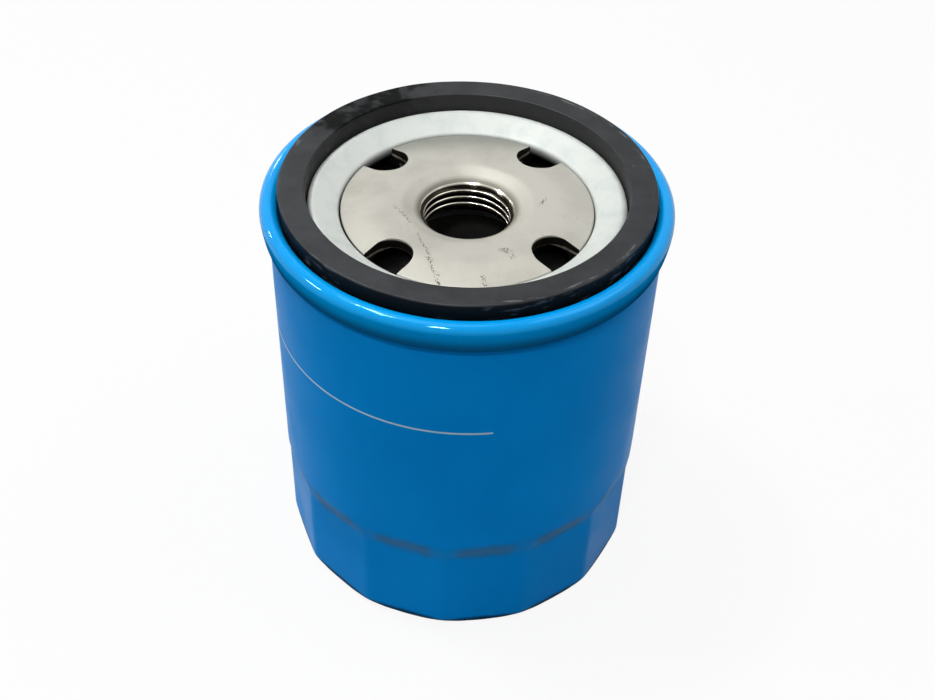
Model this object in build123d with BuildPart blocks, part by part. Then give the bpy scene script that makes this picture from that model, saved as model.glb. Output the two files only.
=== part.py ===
"""Spin-on oil filter: a painted steel can closed by a double-seamed lid and a threaded tapping plate.

All lengths are millimetres. The filter stands on its closed end: Z is its axis, Z = 0 is the base
and the threaded end points up. Every sheet-metal section is drawn in the XZ plane, so its points
are (radius, height), and it is turned about Z.
"""
from build123d import *
import math
import os

os.makedirs("parts", exist_ok=True)

# ------------------------------------------------------------------ driving dimensions
# Whole filter
overall_height = 88.0  # base to the sealing face of the gasket

# Can: a deep-drawn cup with a wrench grip of pressed flats round its closed end
across_flats = 73.2
flat_count = 14
flats_depth = 1.1  # the middle of each flat, in from the round wall
can_wall = 0.5
base_corner_radius = 3.0
flats_top = 22.6  # the flats are full depth up to here
flats_step_height = 3.4  # soft step between the flats and the round wall
flats_phase = 9.1  # degrees from +X to the first corner between two flats
dome_height = 1.8  # pad pressed up in the base, which centres the support spring
dome_bend_radius = 0.8
neck_step = 0.6  # the wall necks in by this much to enter the seam
neck_height = 1.4
neck_bend_radius = 0.6

# Lid and double seam
lid_sheet = 0.75
seam_layer_gap = 0.05
seam_drop = 2.24  # crest of the seam below the sealing face
seam_height = 5.8
hook_end_gap = 0.25  # beyond the end of each hook, inside the other one's fold
compound_crown_height = 0.25  # above the folds' centres, under the can's fold
lid_opening_radius = 24.4
lid_panel_drop = 5.45  # the panel's inner edge below the sealing face
lid_lip_length = 2.0
lid_rib_drop = 3.27  # crest of the rib inside the gasket, below the sealing face
lid_bend_radius = 0.7

# Sealing gasket
gasket_width = 4.9
gasket_height = 5.6
gasket_edge_radius = 0.25
gasket_outer_fit = 0.3  # between the gasket and the seam
gasket_inner_fit = 0.25  # between the gasket's bore and the rib

# Tapping plate: a raised pad inside the lid's opening, with a threaded collar and a flange
plate_thickness = 2.2
plate_flange_rim = 1.0  # beyond the lip of the valve's skirt
pad_fit = 0.2  # all round, between the pad and the lid
pad_edge_drop = 5.7  # these four drops are below the sealing face
pad_crown_drop = 4.6
pad_shoulder_drop = 4.75
thread_entry_drop = 6.1
pad_crown_radius = 18.2
pad_shoulder_radius = 12.4
pad_edge_bend = 0.4
pad_crown_bend = 12.0
pad_shoulder_bend = 2.4
thread_minor_radius = 8.19  # M18 x 1.5
thread_entry_radius = 9.3
collar_radius = 10.5
collar_length = 6.9  # from the thread's entry down
port_count = 4
port_phase = 50.0  # degrees from +X to the first inlet port
port_width = 8.2
port_inner_radius = 16.9
port_outer_radius = 27.0

# Anti-drainback valve: a rubber sleeve on the collar, a hub and a skirt under the ports
sleeve_fit = 0.05  # between the sleeve and the collar
sleeve_thickness = 1.25
sleeve_reach = 2.0  # below the top cap's face
hub_radius = 14.6
hub_gap = 0.3  # between the hub and the pad's underside
skirt_thickness = 1.0
skirt_fall = 2.0  # from the hub down to the skirt's flat part
skirt_flat_radius = 16.6  # the skirt is flat from here out to its lip
skirt_lip_width = 1.2  # the lip lies against the flange, just outside the ports
skirt_gap = 0.3  # between the skirt's lip and the flange
skirt_bend = 3.0
hub_bend_radius = 0.6
valve_edge_radius = 0.2

# Filter element
element_bottom = 14.2
element_top_gap = 0.85  # between the valve's skirt and the top cap
element_side_gap = 3.9  # between the element and the flats
cap_sheet = 0.5
cap_rim_height = 4.2
cap_bend_radius = 0.7
neck_fit = 0.3  # between the sleeve and the neck of the top cap
tube_wall = 0.5
tube_fit = 0.05
tube_hole_radius = 2.1
tube_hole_rows = 6
tube_hole_columns = 6
potting_thickness = 2.0
potting_fit = 0.05
pleat_count = 40
paper_thickness = 0.6
pleat_fold_width = 1.2
pleat_rim_gap = 0.5  # between the pleats and the caps' rims
pleat_tube_gap = 0.25
clip_sheet = 0.3
clip_depth = 3.8
clip_fit = 0.06
clip_side_fit = 0.18

# Bypass valve in the bottom cap
seat_sheet = 0.6
seat_wall_height = 3.0
seat_hole_radius = 6.2
seat_lip_height = 0.8
seat_fit = 0.1
seat_bend_radius = 0.6
cage_sheet = 0.6
cage_foot_radius = 11.0
cage_radius = 10.2
cage_height = 18.2
cage_window_count = 3
cage_window_width = 11.0
cage_window_base = 3.4
cage_window_height = 11.2
cage_window_corner = 0.6
seal_thickness = 1.0
poppet_radius = 8.6
poppet_gap = 0.1  # between the seal and the seat's lip
poppet_thickness = 0.6
stem_radius = 1.9
stem_fit = 0.08
stem_reach = 2.6  # above the cage
stem_chamfer = 0.5
boss_height = 1.2
bypass_wire = 1.0
bypass_coil_radius = 4.2
bypass_turns = 6

# Support spring between the can's base and the element
retainer_sheet = 0.8
retainer_radius = 18.8
retainer_lip_length = 2.4
retainer_bend_radius = 0.5
support_wire = 2.0
support_coil_radius = 16.2
support_turns = 4
coil_fit = 0.4  # between a coil and what centres it

# ------------------------------------------------------------------ derived places
can_radius = across_flats / 2 + flats_depth
neck_outer_radius = can_radius - neck_step
seam_bore_radius = neck_outer_radius - can_wall - seam_layer_gap - lid_sheet
gasket_outer_radius = seam_bore_radius - gasket_outer_fit
gasket_inner_radius = gasket_outer_radius - gasket_width
seam_width = 3 * lid_sheet + 2 * can_wall + 4 * seam_layer_gap
seam_radius = seam_bore_radius + seam_width / 2
seam_crest = overall_height - seam_drop
seam_foot = seam_crest - seam_height
fold_height = seam_crest - seam_width / 2  # centre of the folds over the seam's crest
can_hook_radius = neck_outer_radius + lid_sheet + 2 * seam_layer_gap + can_wall / 2
lid_hook_radius = neck_outer_radius + seam_layer_gap + lid_sheet / 2
lid_skirt_radius = can_hook_radius + can_wall / 2 + seam_layer_gap + lid_sheet / 2
lower_fold_height = seam_foot + (lid_skirt_radius - lid_hook_radius + lid_sheet) / 2
hook_top = fold_height - hook_end_gap
groove_floor = overall_height - gasket_height
lip_foot = overall_height - lid_panel_drop - lid_lip_length
pad_radius = lid_opening_radius - pad_fit
entry_height = overall_height - thread_entry_drop
collar_foot = entry_height - collar_length
pad_underside = overall_height - pad_shoulder_drop - plate_thickness
port_centre_radius = port_inner_radius + port_width / 2
hub_top = pad_underside - hub_gap
lip_top = lip_foot - plate_thickness - skirt_gap
skirt_flat = lip_top - skirt_lip_width / 2
skirt_radius = port_outer_radius + skirt_lip_width
plate_flange_radius = skirt_radius + plate_flange_rim
element_radius = across_flats / 2 - can_wall - element_side_gap
element_top = skirt_flat - skirt_thickness - element_top_gap
sleeve_radius = collar_radius + sleeve_fit + sleeve_thickness
neck_radius = sleeve_radius + neck_fit
tube_inner_radius = neck_radius + cap_sheet + tube_fit
tube_radius = tube_inner_radius + tube_wall
pleat_outer_radius = element_radius - cap_sheet - pleat_rim_gap
pleat_inner_radius = tube_radius + pleat_tube_gap
tube_end_gap = cap_sheet + cap_bend_radius - cap_sheet / 2  # clear of the caps' bends
media_bottom = element_bottom + cap_sheet + potting_thickness
media_top = element_top - cap_sheet - potting_thickness
seat_floor = element_bottom + seat_sheet
cage_top = seat_floor + cage_height
seal_bottom = seat_floor + seat_lip_height + poppet_gap
poppet_bottom = seal_bottom + seal_thickness
poppet_top = poppet_bottom + poppet_thickness
retainer_bottom = element_bottom - retainer_sheet
dome_radius = support_coil_radius - support_wire / 2 - coil_fit - dome_height


def grip_envelope(inset):
    """Prism of flats that opens out to the round wall over the soft step, drawn in by inset."""
    inradius = across_flats / 2 - inset
    step_angle = math.degrees(math.atan(flats_depth / flats_step_height))
    with BuildPart() as envelope:
        with BuildSketch(Plane.XY):
            RegularPolygon(inradius, flat_count, major_radius=False, rotation=flats_phase)
        extrude(amount=flats_top)
        with BuildSketch(Plane.XY.offset(flats_top)):
            RegularPolygon(inradius, flat_count, major_radius=False, rotation=flats_phase)
        extrude(amount=flats_step_height, taper=-step_angle)
        with BuildSketch(Plane.XY.offset(flats_top + flats_step_height)):
            Circle(can_radius)
        extrude(amount=overall_height - flats_top - flats_step_height)
    return envelope.part


def cup_side(inset):
    """Solid filled up to one side of the can's sheet: inset 0 is its outside, can_wall its inside."""
    mitre = inset * math.tan(math.radians(22.5))
    wall_top = seam_foot - neck_height
    with BuildPart() as side:
        with BuildSketch(Plane.XZ):
            with BuildLine():
                outline = FilletPolyline(
                    (0, inset + dome_height),
                    (dome_radius + mitre, inset + dome_height),
                    (dome_radius + dome_height + mitre, inset),
                    (can_radius - inset, inset),
                    (can_radius - inset, wall_top),
                    (neck_outer_radius - inset, seam_foot),
                    (neck_outer_radius - inset, fold_height),
                    radius=[
                        dome_bend_radius,
                        dome_bend_radius,
                        base_corner_radius - inset,
                        neck_bend_radius,
                        neck_bend_radius,
                    ],
                )
                Polyline(outline @ 1, (0, fold_height), outline @ 0)
            make_face()
        revolve(axis=Axis.Z)
        add(grip_envelope(inset), mode=Mode.INTERSECT)
    return side.part


def coil_spring(coil_radius, wire, bottom, top, turns):
    """Compression spring with flat ground ends, from bottom to top."""
    rise = top - bottom - wire / 2
    with BuildPart() as spring:
        with BuildLine(Plane.XY.offset(bottom + wire / 4)):
            coil = Helix(pitch=rise / turns, height=rise, radius=coil_radius)
        with BuildSketch(Plane(origin=coil @ 0, z_dir=coil % 0)):
            Circle(wire / 2)
        sweep(is_frenet=True)
        split(bisect_by=Plane.XY.offset(bottom), keep=Keep.TOP)
        split(bisect_by=Plane.XY.offset(top), keep=Keep.BOTTOM)
    return spring.part


# ------------------------------------------------------------------ can
with BuildPart() as can:
    add(cup_side(0))
    add(cup_side(can_wall), mode=Mode.SUBTRACT)
    # the rim is folded outwards and down: the can's half of the double seam
    with BuildSketch(Plane.XZ):
        with BuildLine():
            rim = Line(
                (neck_outer_radius - can_wall / 2, fold_height - can_wall),
                (neck_outer_radius - can_wall / 2, fold_height),
            )
            fold = ThreePointArc(
                rim @ 1,
                (seam_radius, fold_height + (can_hook_radius - neck_outer_radius + can_wall / 2) / 2),
                (can_hook_radius, fold_height),
            )
            Line(fold @ 1, (can_hook_radius, lower_fold_height + hook_end_gap))
        trace(line_width=can_wall)
    revolve(axis=Axis.Z)
can.part.label = "can"
export_step(can.part, "parts/can.step")

# ------------------------------------------------------------------ lid
rib_radius = gasket_inner_radius - gasket_inner_fit - lid_sheet / 2
lip_radius = lid_opening_radius + lid_sheet / 2
wall_radius = seam_bore_radius + lid_sheet / 2
with BuildPart() as seam_lid:
    with BuildSketch(Plane.XZ):
        with BuildLine():
            panel = FilletPolyline(
                (lip_radius, lip_foot),
                (lip_radius, overall_height - lid_panel_drop - lid_sheet / 2),
                (rib_radius, overall_height - lid_rib_drop),
                (rib_radius, groove_floor - lid_sheet / 2),
                (wall_radius, groove_floor - lid_sheet / 2),
                (wall_radius, fold_height),
                radius=lid_bend_radius,
            )
            crest = ThreePointArc(
                panel @ 1,
                (seam_radius, seam_crest - lid_sheet / 2),
                (lid_skirt_radius, fold_height),
            )
            skirt = Line(crest @ 1, (lid_skirt_radius, lower_fold_height))
            lower_fold = ThreePointArc(
                skirt @ 1,
                ((lid_skirt_radius + lid_hook_radius) / 2, seam_foot + lid_sheet / 2),
                (lid_hook_radius, lower_fold_height),
            )
            Line(lower_fold @ 1, (lid_hook_radius, hook_top))
        trace(line_width=lid_sheet)
    revolve(axis=Axis.Z)
seam_lid.part.label = "seam_lid"
export_step(seam_lid.part, "parts/seam_lid.step")

# ------------------------------------------------------------------ sealing compound in the seam
compound_half_width = lid_sheet / 2 - seam_layer_gap
with BuildPart() as seam_compound:
    with BuildSketch(Plane.XZ):
        with BuildLine():
            Polyline(
                (seam_radius - compound_half_width, hook_top),
                (seam_radius + compound_half_width, hook_top),
                (seam_radius + compound_half_width, fold_height),
                (seam_radius + compound_half_width / 2, fold_height + compound_crown_height),
                (seam_radius - compound_half_width / 2, fold_height + compound_crown_height),
                (seam_radius - compound_half_width, fold_height),
                close=True,
            )
        make_face()
    revolve(axis=Axis.Z)
seam_compound.part.label = "seam_compound"
export_step(seam_compound.part, "parts/seam_compound.step")

# ------------------------------------------------------------------ sealing gasket
with BuildPart() as sealing_gasket:
    with BuildSketch(Plane.XY.offset(groove_floor)):
        Circle(gasket_outer_radius)
        Circle(gasket_inner_radius, mode=Mode.SUBTRACT)
    extrude(amount=gasket_height)
    fillet(sealing_gasket.edges().filter_by(GeomType.CIRCLE), gasket_edge_radius)
sealing_gasket.part.label = "sealing_gasket"
export_step(sealing_gasket.part, "parts/sealing_gasket.step")

# ------------------------------------------------------------------ tapping plate
with BuildPart() as tapping_plate:
    with BuildSketch(Plane.XZ):
        with BuildLine():
            FilletPolyline(
                (thread_minor_radius, collar_foot),
                (thread_minor_radius, entry_height - (thread_entry_radius - thread_minor_radius)),
                (thread_entry_radius, entry_height),
                (pad_shoulder_radius, overall_height - pad_shoulder_drop),
                (pad_crown_radius, overall_height - pad_crown_drop),
                (pad_radius, overall_height - pad_edge_drop),
                (pad_radius, lip_foot),
                (plate_flange_radius, lip_foot),
                (plate_flange_radius, lip_foot - plate_thickness),
                (pad_radius - plate_thickness, lip_foot - plate_thickness),
                (pad_radius - plate_thickness, overall_height - pad_edge_drop - plate_thickness),
                (pad_crown_radius, overall_height - pad_crown_drop - plate_thickness),
                (collar_radius, pad_underside),
                (collar_radius, collar_foot),
                radius=[
                    *(0, 0, 0, pad_shoulder_bend, pad_crown_bend, pad_edge_bend),
                    *(0, 0, 0, 0, pad_edge_bend, 0, 0, 0),
                ],
                close=True,
            )
        make_face()
    revolve(axis=Axis.Z)
    # inlet ports: round at the inner end, straight-sided to the flange
    with BuildSketch(Plane.XY.offset(overall_height)):
        with PolarLocations(port_centre_radius, port_count, start_angle=port_phase):
            Circle(port_width / 2)
            Rectangle(port_outer_radius - port_centre_radius, port_width, align=(Align.MIN, Align.CENTER))
    extrude(until=Until.LAST, dir=(0, 0, -1), mode=Mode.SUBTRACT)
tapping_plate.part.label = "tapping_plate"
export_step(tapping_plate.part, "parts/tapping_plate.step")

# ------------------------------------------------------------------ anti-drainback valve
with BuildPart() as anti_drainback_valve:
    with BuildSketch(Plane.XZ):
        with BuildLine():
            FilletPolyline(
                (collar_radius + sleeve_fit, element_top - sleeve_reach),
                (collar_radius + sleeve_fit, hub_top),
                (hub_radius, hub_top),
                (hub_radius, skirt_flat + skirt_fall),
                (skirt_flat_radius, skirt_flat),
                (skirt_radius - skirt_lip_width, skirt_flat),
                (skirt_radius - skirt_lip_width, lip_top),
                (skirt_radius, lip_top),
                (skirt_radius, skirt_flat - skirt_thickness),
                (skirt_flat_radius, skirt_flat - skirt_thickness),
                (hub_radius, skirt_flat + skirt_fall - skirt_thickness),
                (hub_radius, element_top),
                (sleeve_radius, element_top),
                (sleeve_radius, element_top - sleeve_reach),
                radius=[
                    *(valve_edge_radius, valve_edge_radius, valve_edge_radius, hub_bend_radius),
                    *(skirt_bend, valve_edge_radius, valve_edge_radius, valve_edge_radius),
                    *(valve_edge_radius, skirt_bend, hub_bend_radius),
                    *(valve_edge_radius, valve_edge_radius, valve_edge_radius),
                ],
                close=True,
            )
        make_face()
    revolve(axis=Axis.Z)
anti_drainback_valve.part.label = "anti_drainback_valve"
export_step(anti_drainback_valve.part, "parts/anti_drainback_valve.step")


# ------------------------------------------------------------------ end caps
def end_cap(face, inward):
    """Pressed cap with a rim and a neck; face is its outer face, inward +1 or -1 towards the paper."""
    middle = face + inward * cap_sheet / 2
    end = face + inward * cap_rim_height
    with BuildPart() as cap:
        with BuildSketch(Plane.XZ):
            with BuildLine():
                FilletPolyline(
                    (neck_radius + cap_sheet / 2, end),
                    (neck_radius + cap_sheet / 2, middle),
                    (element_radius - cap_sheet / 2, middle),
                    (element_radius - cap_sheet / 2, end),
                    radius=cap_bend_radius,
                )
            trace(line_width=cap_sheet)
        revolve(axis=Axis.Z)
    return cap.part


with BuildPart() as top_end_cap:
    add(end_cap(element_top, -1))
top_end_cap.part.label = "top_end_cap"
export_step(top_end_cap.part, "parts/top_end_cap.step")

with BuildPart() as bottom_end_cap:
    add(end_cap(element_bottom, 1))
bottom_end_cap.part.label = "bottom_end_cap"
export_step(bottom_end_cap.part, "parts/bottom_end_cap.step")


# ------------------------------------------------------------------ potting between paper and caps
def potting_ring(bottom, rounded_end):
    """Ring of set adhesive; its outer edge at rounded_end fills the bend of the cap's rim."""
    with BuildPart() as ring:
        with BuildSketch(Plane.XY.offset(bottom)):
            Circle(element_radius - cap_sheet - potting_fit)
            Circle(tube_radius + potting_fit, mode=Mode.SUBTRACT)
        extrude(amount=potting_thickness)
        end_edges = ring.edges().filter_by(GeomType.CIRCLE).group_by(Axis.Z)[rounded_end]
        fillet(end_edges.sort_by(SortBy.RADIUS)[-1], cap_bend_radius)
    return ring.part


with BuildPart() as top_potting:
    add(potting_ring(media_top, -1))
top_potting.part.label = "top_potting"
export_step(top_potting.part, "parts/top_potting.step")

with BuildPart() as bottom_potting:
    add(potting_ring(element_bottom + cap_sheet, 0))
bottom_potting.part.label = "bottom_potting"
export_step(bottom_potting.part, "parts/bottom_potting.step")

# ------------------------------------------------------------------ pleated paper
half_pitch = 180 / pleat_count
crest_radius = pleat_outer_radius - paper_thickness / 2
root_radius = pleat_inner_radius + paper_thickness / 2
crest_angle = math.degrees(pleat_fold_width / 2 / crest_radius)
root_angle = math.degrees(pleat_fold_width / 4 / root_radius)
with BuildSketch() as pleat:
    with BuildLine():
        root_end = PolarLine((0, 0), root_radius, half_pitch - root_angle, mode=Mode.PRIVATE) @ 1
        crest_end = PolarLine((0, 0), crest_radius, crest_angle, mode=Mode.PRIVATE) @ 1
        root_middle = PolarLine((0, 0), root_radius, half_pitch, mode=Mode.PRIVATE) @ 1
        Polyline(
            (root_middle.X, -root_middle.Y),
            (root_end.X, -root_end.Y),
            (crest_end.X, -crest_end.Y),
            crest_end,
            root_end,
            root_middle,
        )
    trace(line_width=paper_thickness)
with BuildPart() as pleated_media:
    with BuildSketch(Plane.XY.offset(media_bottom)):
        with PolarLocations(0, pleat_count):
            add(pleat.sketch)
    extrude(amount=media_top - media_bottom)
pleated_media.part.label = "pleated_media"
export_step(pleated_media.part, "parts/pleated_media.step")

# ------------------------------------------------------------------ clip over the paper's joint
clip_middle_radius = pleat_outer_radius + clip_fit + clip_sheet / 2
clip_half_width = pleat_fold_width / 2 + paper_thickness / 2 + clip_side_fit + clip_sheet / 2
with BuildPart() as media_seam_clip:
    with BuildSketch(Plane.XY.offset(media_bottom)):
        with BuildLine():
            Polyline(
                (clip_middle_radius - clip_depth, -clip_half_width),
                (clip_middle_radius, -clip_half_width),
                (clip_middle_radius, clip_half_width),
                (clip_middle_radius - clip_depth, clip_half_width),
            )
        trace(line_width=clip_sheet)
    extrude(amount=media_top - media_bottom)
media_seam_clip.part.label = "media_seam_clip"
export_step(media_seam_clip.part, "parts/media_seam_clip.step")

# ------------------------------------------------------------------ centre tube
tube_bottom = element_bottom + tube_end_gap
tube_top = element_top - tube_end_gap
hole_pitch = (media_top - cap_rim_height - media_bottom) / tube_hole_rows
with BuildPart() as centre_tube:
    with BuildSketch(Plane.XY.offset(tube_bottom)):
        Circle(tube_radius)
        Circle(tube_inner_radius, mode=Mode.SUBTRACT)
    extrude(amount=tube_top - tube_bottom)
    for row in range(tube_hole_rows):
        height = media_bottom + cap_rim_height / 2 + (row + 0.5) * hole_pitch
        for column in range(tube_hole_columns):
            angle = 360 / tube_hole_columns * (column + row % 2 / 2)
            side = Plane.XZ.rotated((0, 0, angle))
            with BuildSketch(side.move(Location((0, 0, height)))):
                Circle(tube_hole_radius)
            extrude(amount=2 * tube_radius, mode=Mode.SUBTRACT)
centre_tube.part.label = "centre_tube"
export_step(centre_tube.part, "parts/centre_tube.step")

# ------------------------------------------------------------------ bypass valve
seat_wall_radius = neck_radius - seat_fit - seat_sheet / 2
seat_lip_radius = seat_hole_radius + seat_sheet / 2
with BuildPart() as bypass_seat:
    with BuildSketch(Plane.XZ):
        with BuildLine():
            FilletPolyline(
                (seat_wall_radius, element_bottom + seat_wall_height),
                (seat_wall_radius, element_bottom + seat_sheet / 2),
                (seat_lip_radius, element_bottom + seat_sheet / 2),
                (seat_lip_radius, seat_floor + seat_lip_height),
                radius=seat_bend_radius,
            )
        trace(line_width=seat_sheet)
    revolve(axis=Axis.Z)
bypass_seat.part.label = "bypass_seat"
export_step(bypass_seat.part, "parts/bypass_seat.step")

window_middle = seat_floor + cage_window_base + cage_window_height / 2
with BuildPart() as bypass_cage:
    with BuildSketch(Plane.XZ):
        with BuildLine():
            FilletPolyline(
                (cage_foot_radius, seat_floor + cage_sheet / 2),
                (cage_radius - cage_sheet / 2, seat_floor + cage_sheet / 2),
                (cage_radius - cage_sheet / 2, cage_top - cage_sheet / 2),
                (stem_radius + stem_fit, cage_top - cage_sheet / 2),
                radius=seat_bend_radius,
            )
        trace(line_width=cage_sheet)
    revolve(axis=Axis.Z)
    for window in range(cage_window_count):
        angle = 360 / cage_window_count * window
        side = Plane.XZ.rotated((0, 0, angle))
        with BuildSketch(side.move(Location((0, 0, window_middle)))):
            RectangleRounded(cage_window_width, cage_window_height, cage_window_corner)
        extrude(amount=2 * cage_radius, mode=Mode.SUBTRACT)
bypass_cage.part.label = "bypass_cage"
export_step(bypass_cage.part, "parts/bypass_cage.step")

with BuildPart() as bypass_seal:
    with BuildSketch(Plane.XY.offset(seal_bottom)):
        Circle(poppet_radius)
    extrude(amount=seal_thickness)
bypass_seal.part.label = "bypass_seal"
export_step(bypass_seal.part, "parts/bypass_seal.step")

with BuildPart() as bypass_poppet:
    with BuildSketch(Plane.XY.offset(poppet_bottom)):
        Circle(poppet_radius)
    extrude(amount=poppet_thickness)
    with BuildSketch(Plane.XY.offset(poppet_top)):
        Circle(bypass_coil_radius - bypass_wire / 2 - coil_fit)
    extrude(amount=boss_height)
    with BuildSketch(Plane.XY.offset(poppet_top + boss_height)):
        Circle(stem_radius)
    extrude(amount=cage_top + stem_reach - poppet_top - boss_height)
    chamfer(bypass_poppet.faces().sort_by(Axis.Z)[-1].edges(), stem_chamfer)
bypass_poppet.part.label = "bypass_poppet"
export_step(bypass_poppet.part, "parts/bypass_poppet.step")

with BuildPart() as bypass_spring:
    add(coil_spring(bypass_coil_radius, bypass_wire, poppet_top, cage_top - cage_sheet, bypass_turns))
bypass_spring.part.label = "bypass_spring"
export_step(bypass_spring.part, "parts/bypass_spring.step")

# ------------------------------------------------------------------ support spring and its retainer
lip_middle_radius = support_coil_radius - support_wire / 2 - coil_fit - retainer_sheet / 2
with BuildPart() as spring_retainer:
    with BuildSketch(Plane.XZ):
        with BuildLine():
            FilletPolyline(
                (retainer_radius, retainer_bottom + retainer_sheet / 2),
                (lip_middle_radius, retainer_bottom + retainer_sheet / 2),
                (lip_middle_radius, retainer_bottom - retainer_lip_length),
                radius=retainer_bend_radius,
            )
        trace(line_width=retainer_sheet)
    revolve(axis=Axis.Z)
spring_retainer.part.label = "spring_retainer"
export_step(spring_retainer.part, "parts/spring_retainer.step")

with BuildPart() as support_spring:
    add(coil_spring(support_coil_radius, support_wire, can_wall, retainer_bottom, support_turns))
support_spring.part.label = "support_spring"
export_step(support_spring.part, "parts/support_spring.step")
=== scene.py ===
"""Looks of a spin-on oil filter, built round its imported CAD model.

Sizes are in millimetres unless a name ends in _m; MM turns them into the scene's metres. A section
is drawn in the plane of radius and height, with the material on its left, and turned about Z. Edges
that turn more than CREASE_DEGREES stay sharp.
"""
import logging
import math
from dataclasses import dataclass
from enum import Enum
from typing import Callable, Sequence

import bpy
import numpy as np
from mathutils import Matrix, Vector


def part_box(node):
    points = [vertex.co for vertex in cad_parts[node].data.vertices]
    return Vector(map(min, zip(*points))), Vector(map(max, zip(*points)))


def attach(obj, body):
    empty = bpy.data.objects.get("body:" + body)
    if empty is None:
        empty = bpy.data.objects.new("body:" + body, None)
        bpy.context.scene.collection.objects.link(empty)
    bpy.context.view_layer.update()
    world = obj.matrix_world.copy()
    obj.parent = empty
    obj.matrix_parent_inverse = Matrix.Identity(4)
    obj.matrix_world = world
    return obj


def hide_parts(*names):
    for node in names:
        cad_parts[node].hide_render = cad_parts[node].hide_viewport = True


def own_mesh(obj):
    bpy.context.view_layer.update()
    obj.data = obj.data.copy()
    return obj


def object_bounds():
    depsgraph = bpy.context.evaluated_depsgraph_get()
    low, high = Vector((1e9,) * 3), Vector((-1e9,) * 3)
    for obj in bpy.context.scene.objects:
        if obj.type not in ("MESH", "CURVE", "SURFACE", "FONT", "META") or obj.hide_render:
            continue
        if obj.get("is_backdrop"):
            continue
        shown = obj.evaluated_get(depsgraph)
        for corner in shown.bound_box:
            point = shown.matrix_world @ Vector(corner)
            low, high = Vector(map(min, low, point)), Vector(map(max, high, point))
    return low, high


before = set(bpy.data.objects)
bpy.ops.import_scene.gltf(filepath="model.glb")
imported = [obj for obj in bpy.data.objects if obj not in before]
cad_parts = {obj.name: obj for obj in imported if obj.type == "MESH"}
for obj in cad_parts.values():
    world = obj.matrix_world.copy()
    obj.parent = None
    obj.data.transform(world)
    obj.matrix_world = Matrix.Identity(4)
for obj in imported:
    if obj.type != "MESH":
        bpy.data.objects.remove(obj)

MM = 0.001
CREASE_DEGREES = 38.0
Socket = bpy.types.NodeSocket
Shape = Callable[[np.ndarray, np.ndarray, np.ndarray], tuple[np.ndarray, np.ndarray]]
log = logging.getLogger("oil_filter")


# ---------------------------------------------------------------------------- sections and meshes
@dataclass(frozen=True)
class Bend:
    """One corner of a section: radius from the axis, height, and the radius it is bent to."""

    radius: float
    height: float
    bend: float = 0.0

    @property
    def place(self) -> np.ndarray:
        """The corner as a point."""
        return np.array([self.radius, self.height])


def bent_path(corners: Sequence[Bend], closed: bool = False, arc_step: float = 9.0) -> np.ndarray:
    """Draws a path whose corners are arcs.

    Args:
        corners: the corners in order, each with its bend radius.
        closed: whether the last corner joins the first.
        arc_step: most degrees between two points of an arc.

    Returns:
        The path's points, one (radius, height) row each.
    """
    points: list[np.ndarray] = []
    for index, corner in enumerate(corners):
        is_end = not closed and index in (0, len(corners) - 1)
        if corner.bend == 0 or is_end:
            points.append(corner.place)
            continue
        back = corners[index - 1].place - corner.place
        ahead = corners[(index + 1) % len(corners)].place - corner.place
        back /= np.linalg.norm(back)
        ahead /= np.linalg.norm(ahead)
        opening = math.acos(float(np.clip(back @ ahead, -1, 1)))
        turn = math.pi - opening
        middle = (back + ahead) / np.linalg.norm(back + ahead)
        centre = corner.place + middle * corner.bend / math.sin(opening / 2)
        reach = corner.bend * math.tan(turn / 2)
        start = corner.place + back * reach - centre
        end = corner.place + ahead * reach - centre
        steps = max(2, math.ceil(math.degrees(turn) / arc_step))
        for step in range(steps + 1):
            share = step / steps
            spoke = math.sin((1 - share) * turn) * start + math.sin(share * turn) * end
            points.append(centre + spoke / math.sin(turn))
    path = np.array(points)
    apart = np.linalg.norm(np.diff(path, axis=0), axis=1) > 1e-6
    return path[np.concatenate([[True], apart])]


def subdivided(path: np.ndarray, longest: float) -> np.ndarray:
    """Adds points to a path, so that its runs stay short.

    Args:
        path: the path's points.
        longest: the longest that a run may be.

    Returns:
        The path with its added points.
    """
    points = [path[:1]]
    for start, end in zip(path[:-1], path[1:]):
        count = max(1, math.ceil(float(np.linalg.norm(end - start)) / longest))
        shares = np.arange(1, count + 1)[:, None] / count
        points.append(start + (end - start) * shares)
    return np.vstack(points)


def sheet_outline(path: np.ndarray, thickness: float) -> np.ndarray:
    """Gives a sheet's middle line its thickness.

    Args:
        path: the middle line's points.
        thickness: the sheet's thickness.

    Returns:
        The outline's points: along the right side, and back along the left side.
    """
    runs = np.diff(path, axis=0)
    runs /= np.linalg.norm(runs, axis=1)[:, None]
    before = np.vstack([runs[:1], runs])
    after = np.vstack([runs, runs[-1:]])
    along = before + after
    along /= np.linalg.norm(along, axis=1)[:, None]
    across = np.stack([-along[:, 1], along[:, 0]], axis=1)
    mitre = np.sum(along * after, axis=1)[:, None]
    offset = across / mitre * thickness / 2
    return np.vstack([path - offset, (path + offset)[::-1]])


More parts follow.
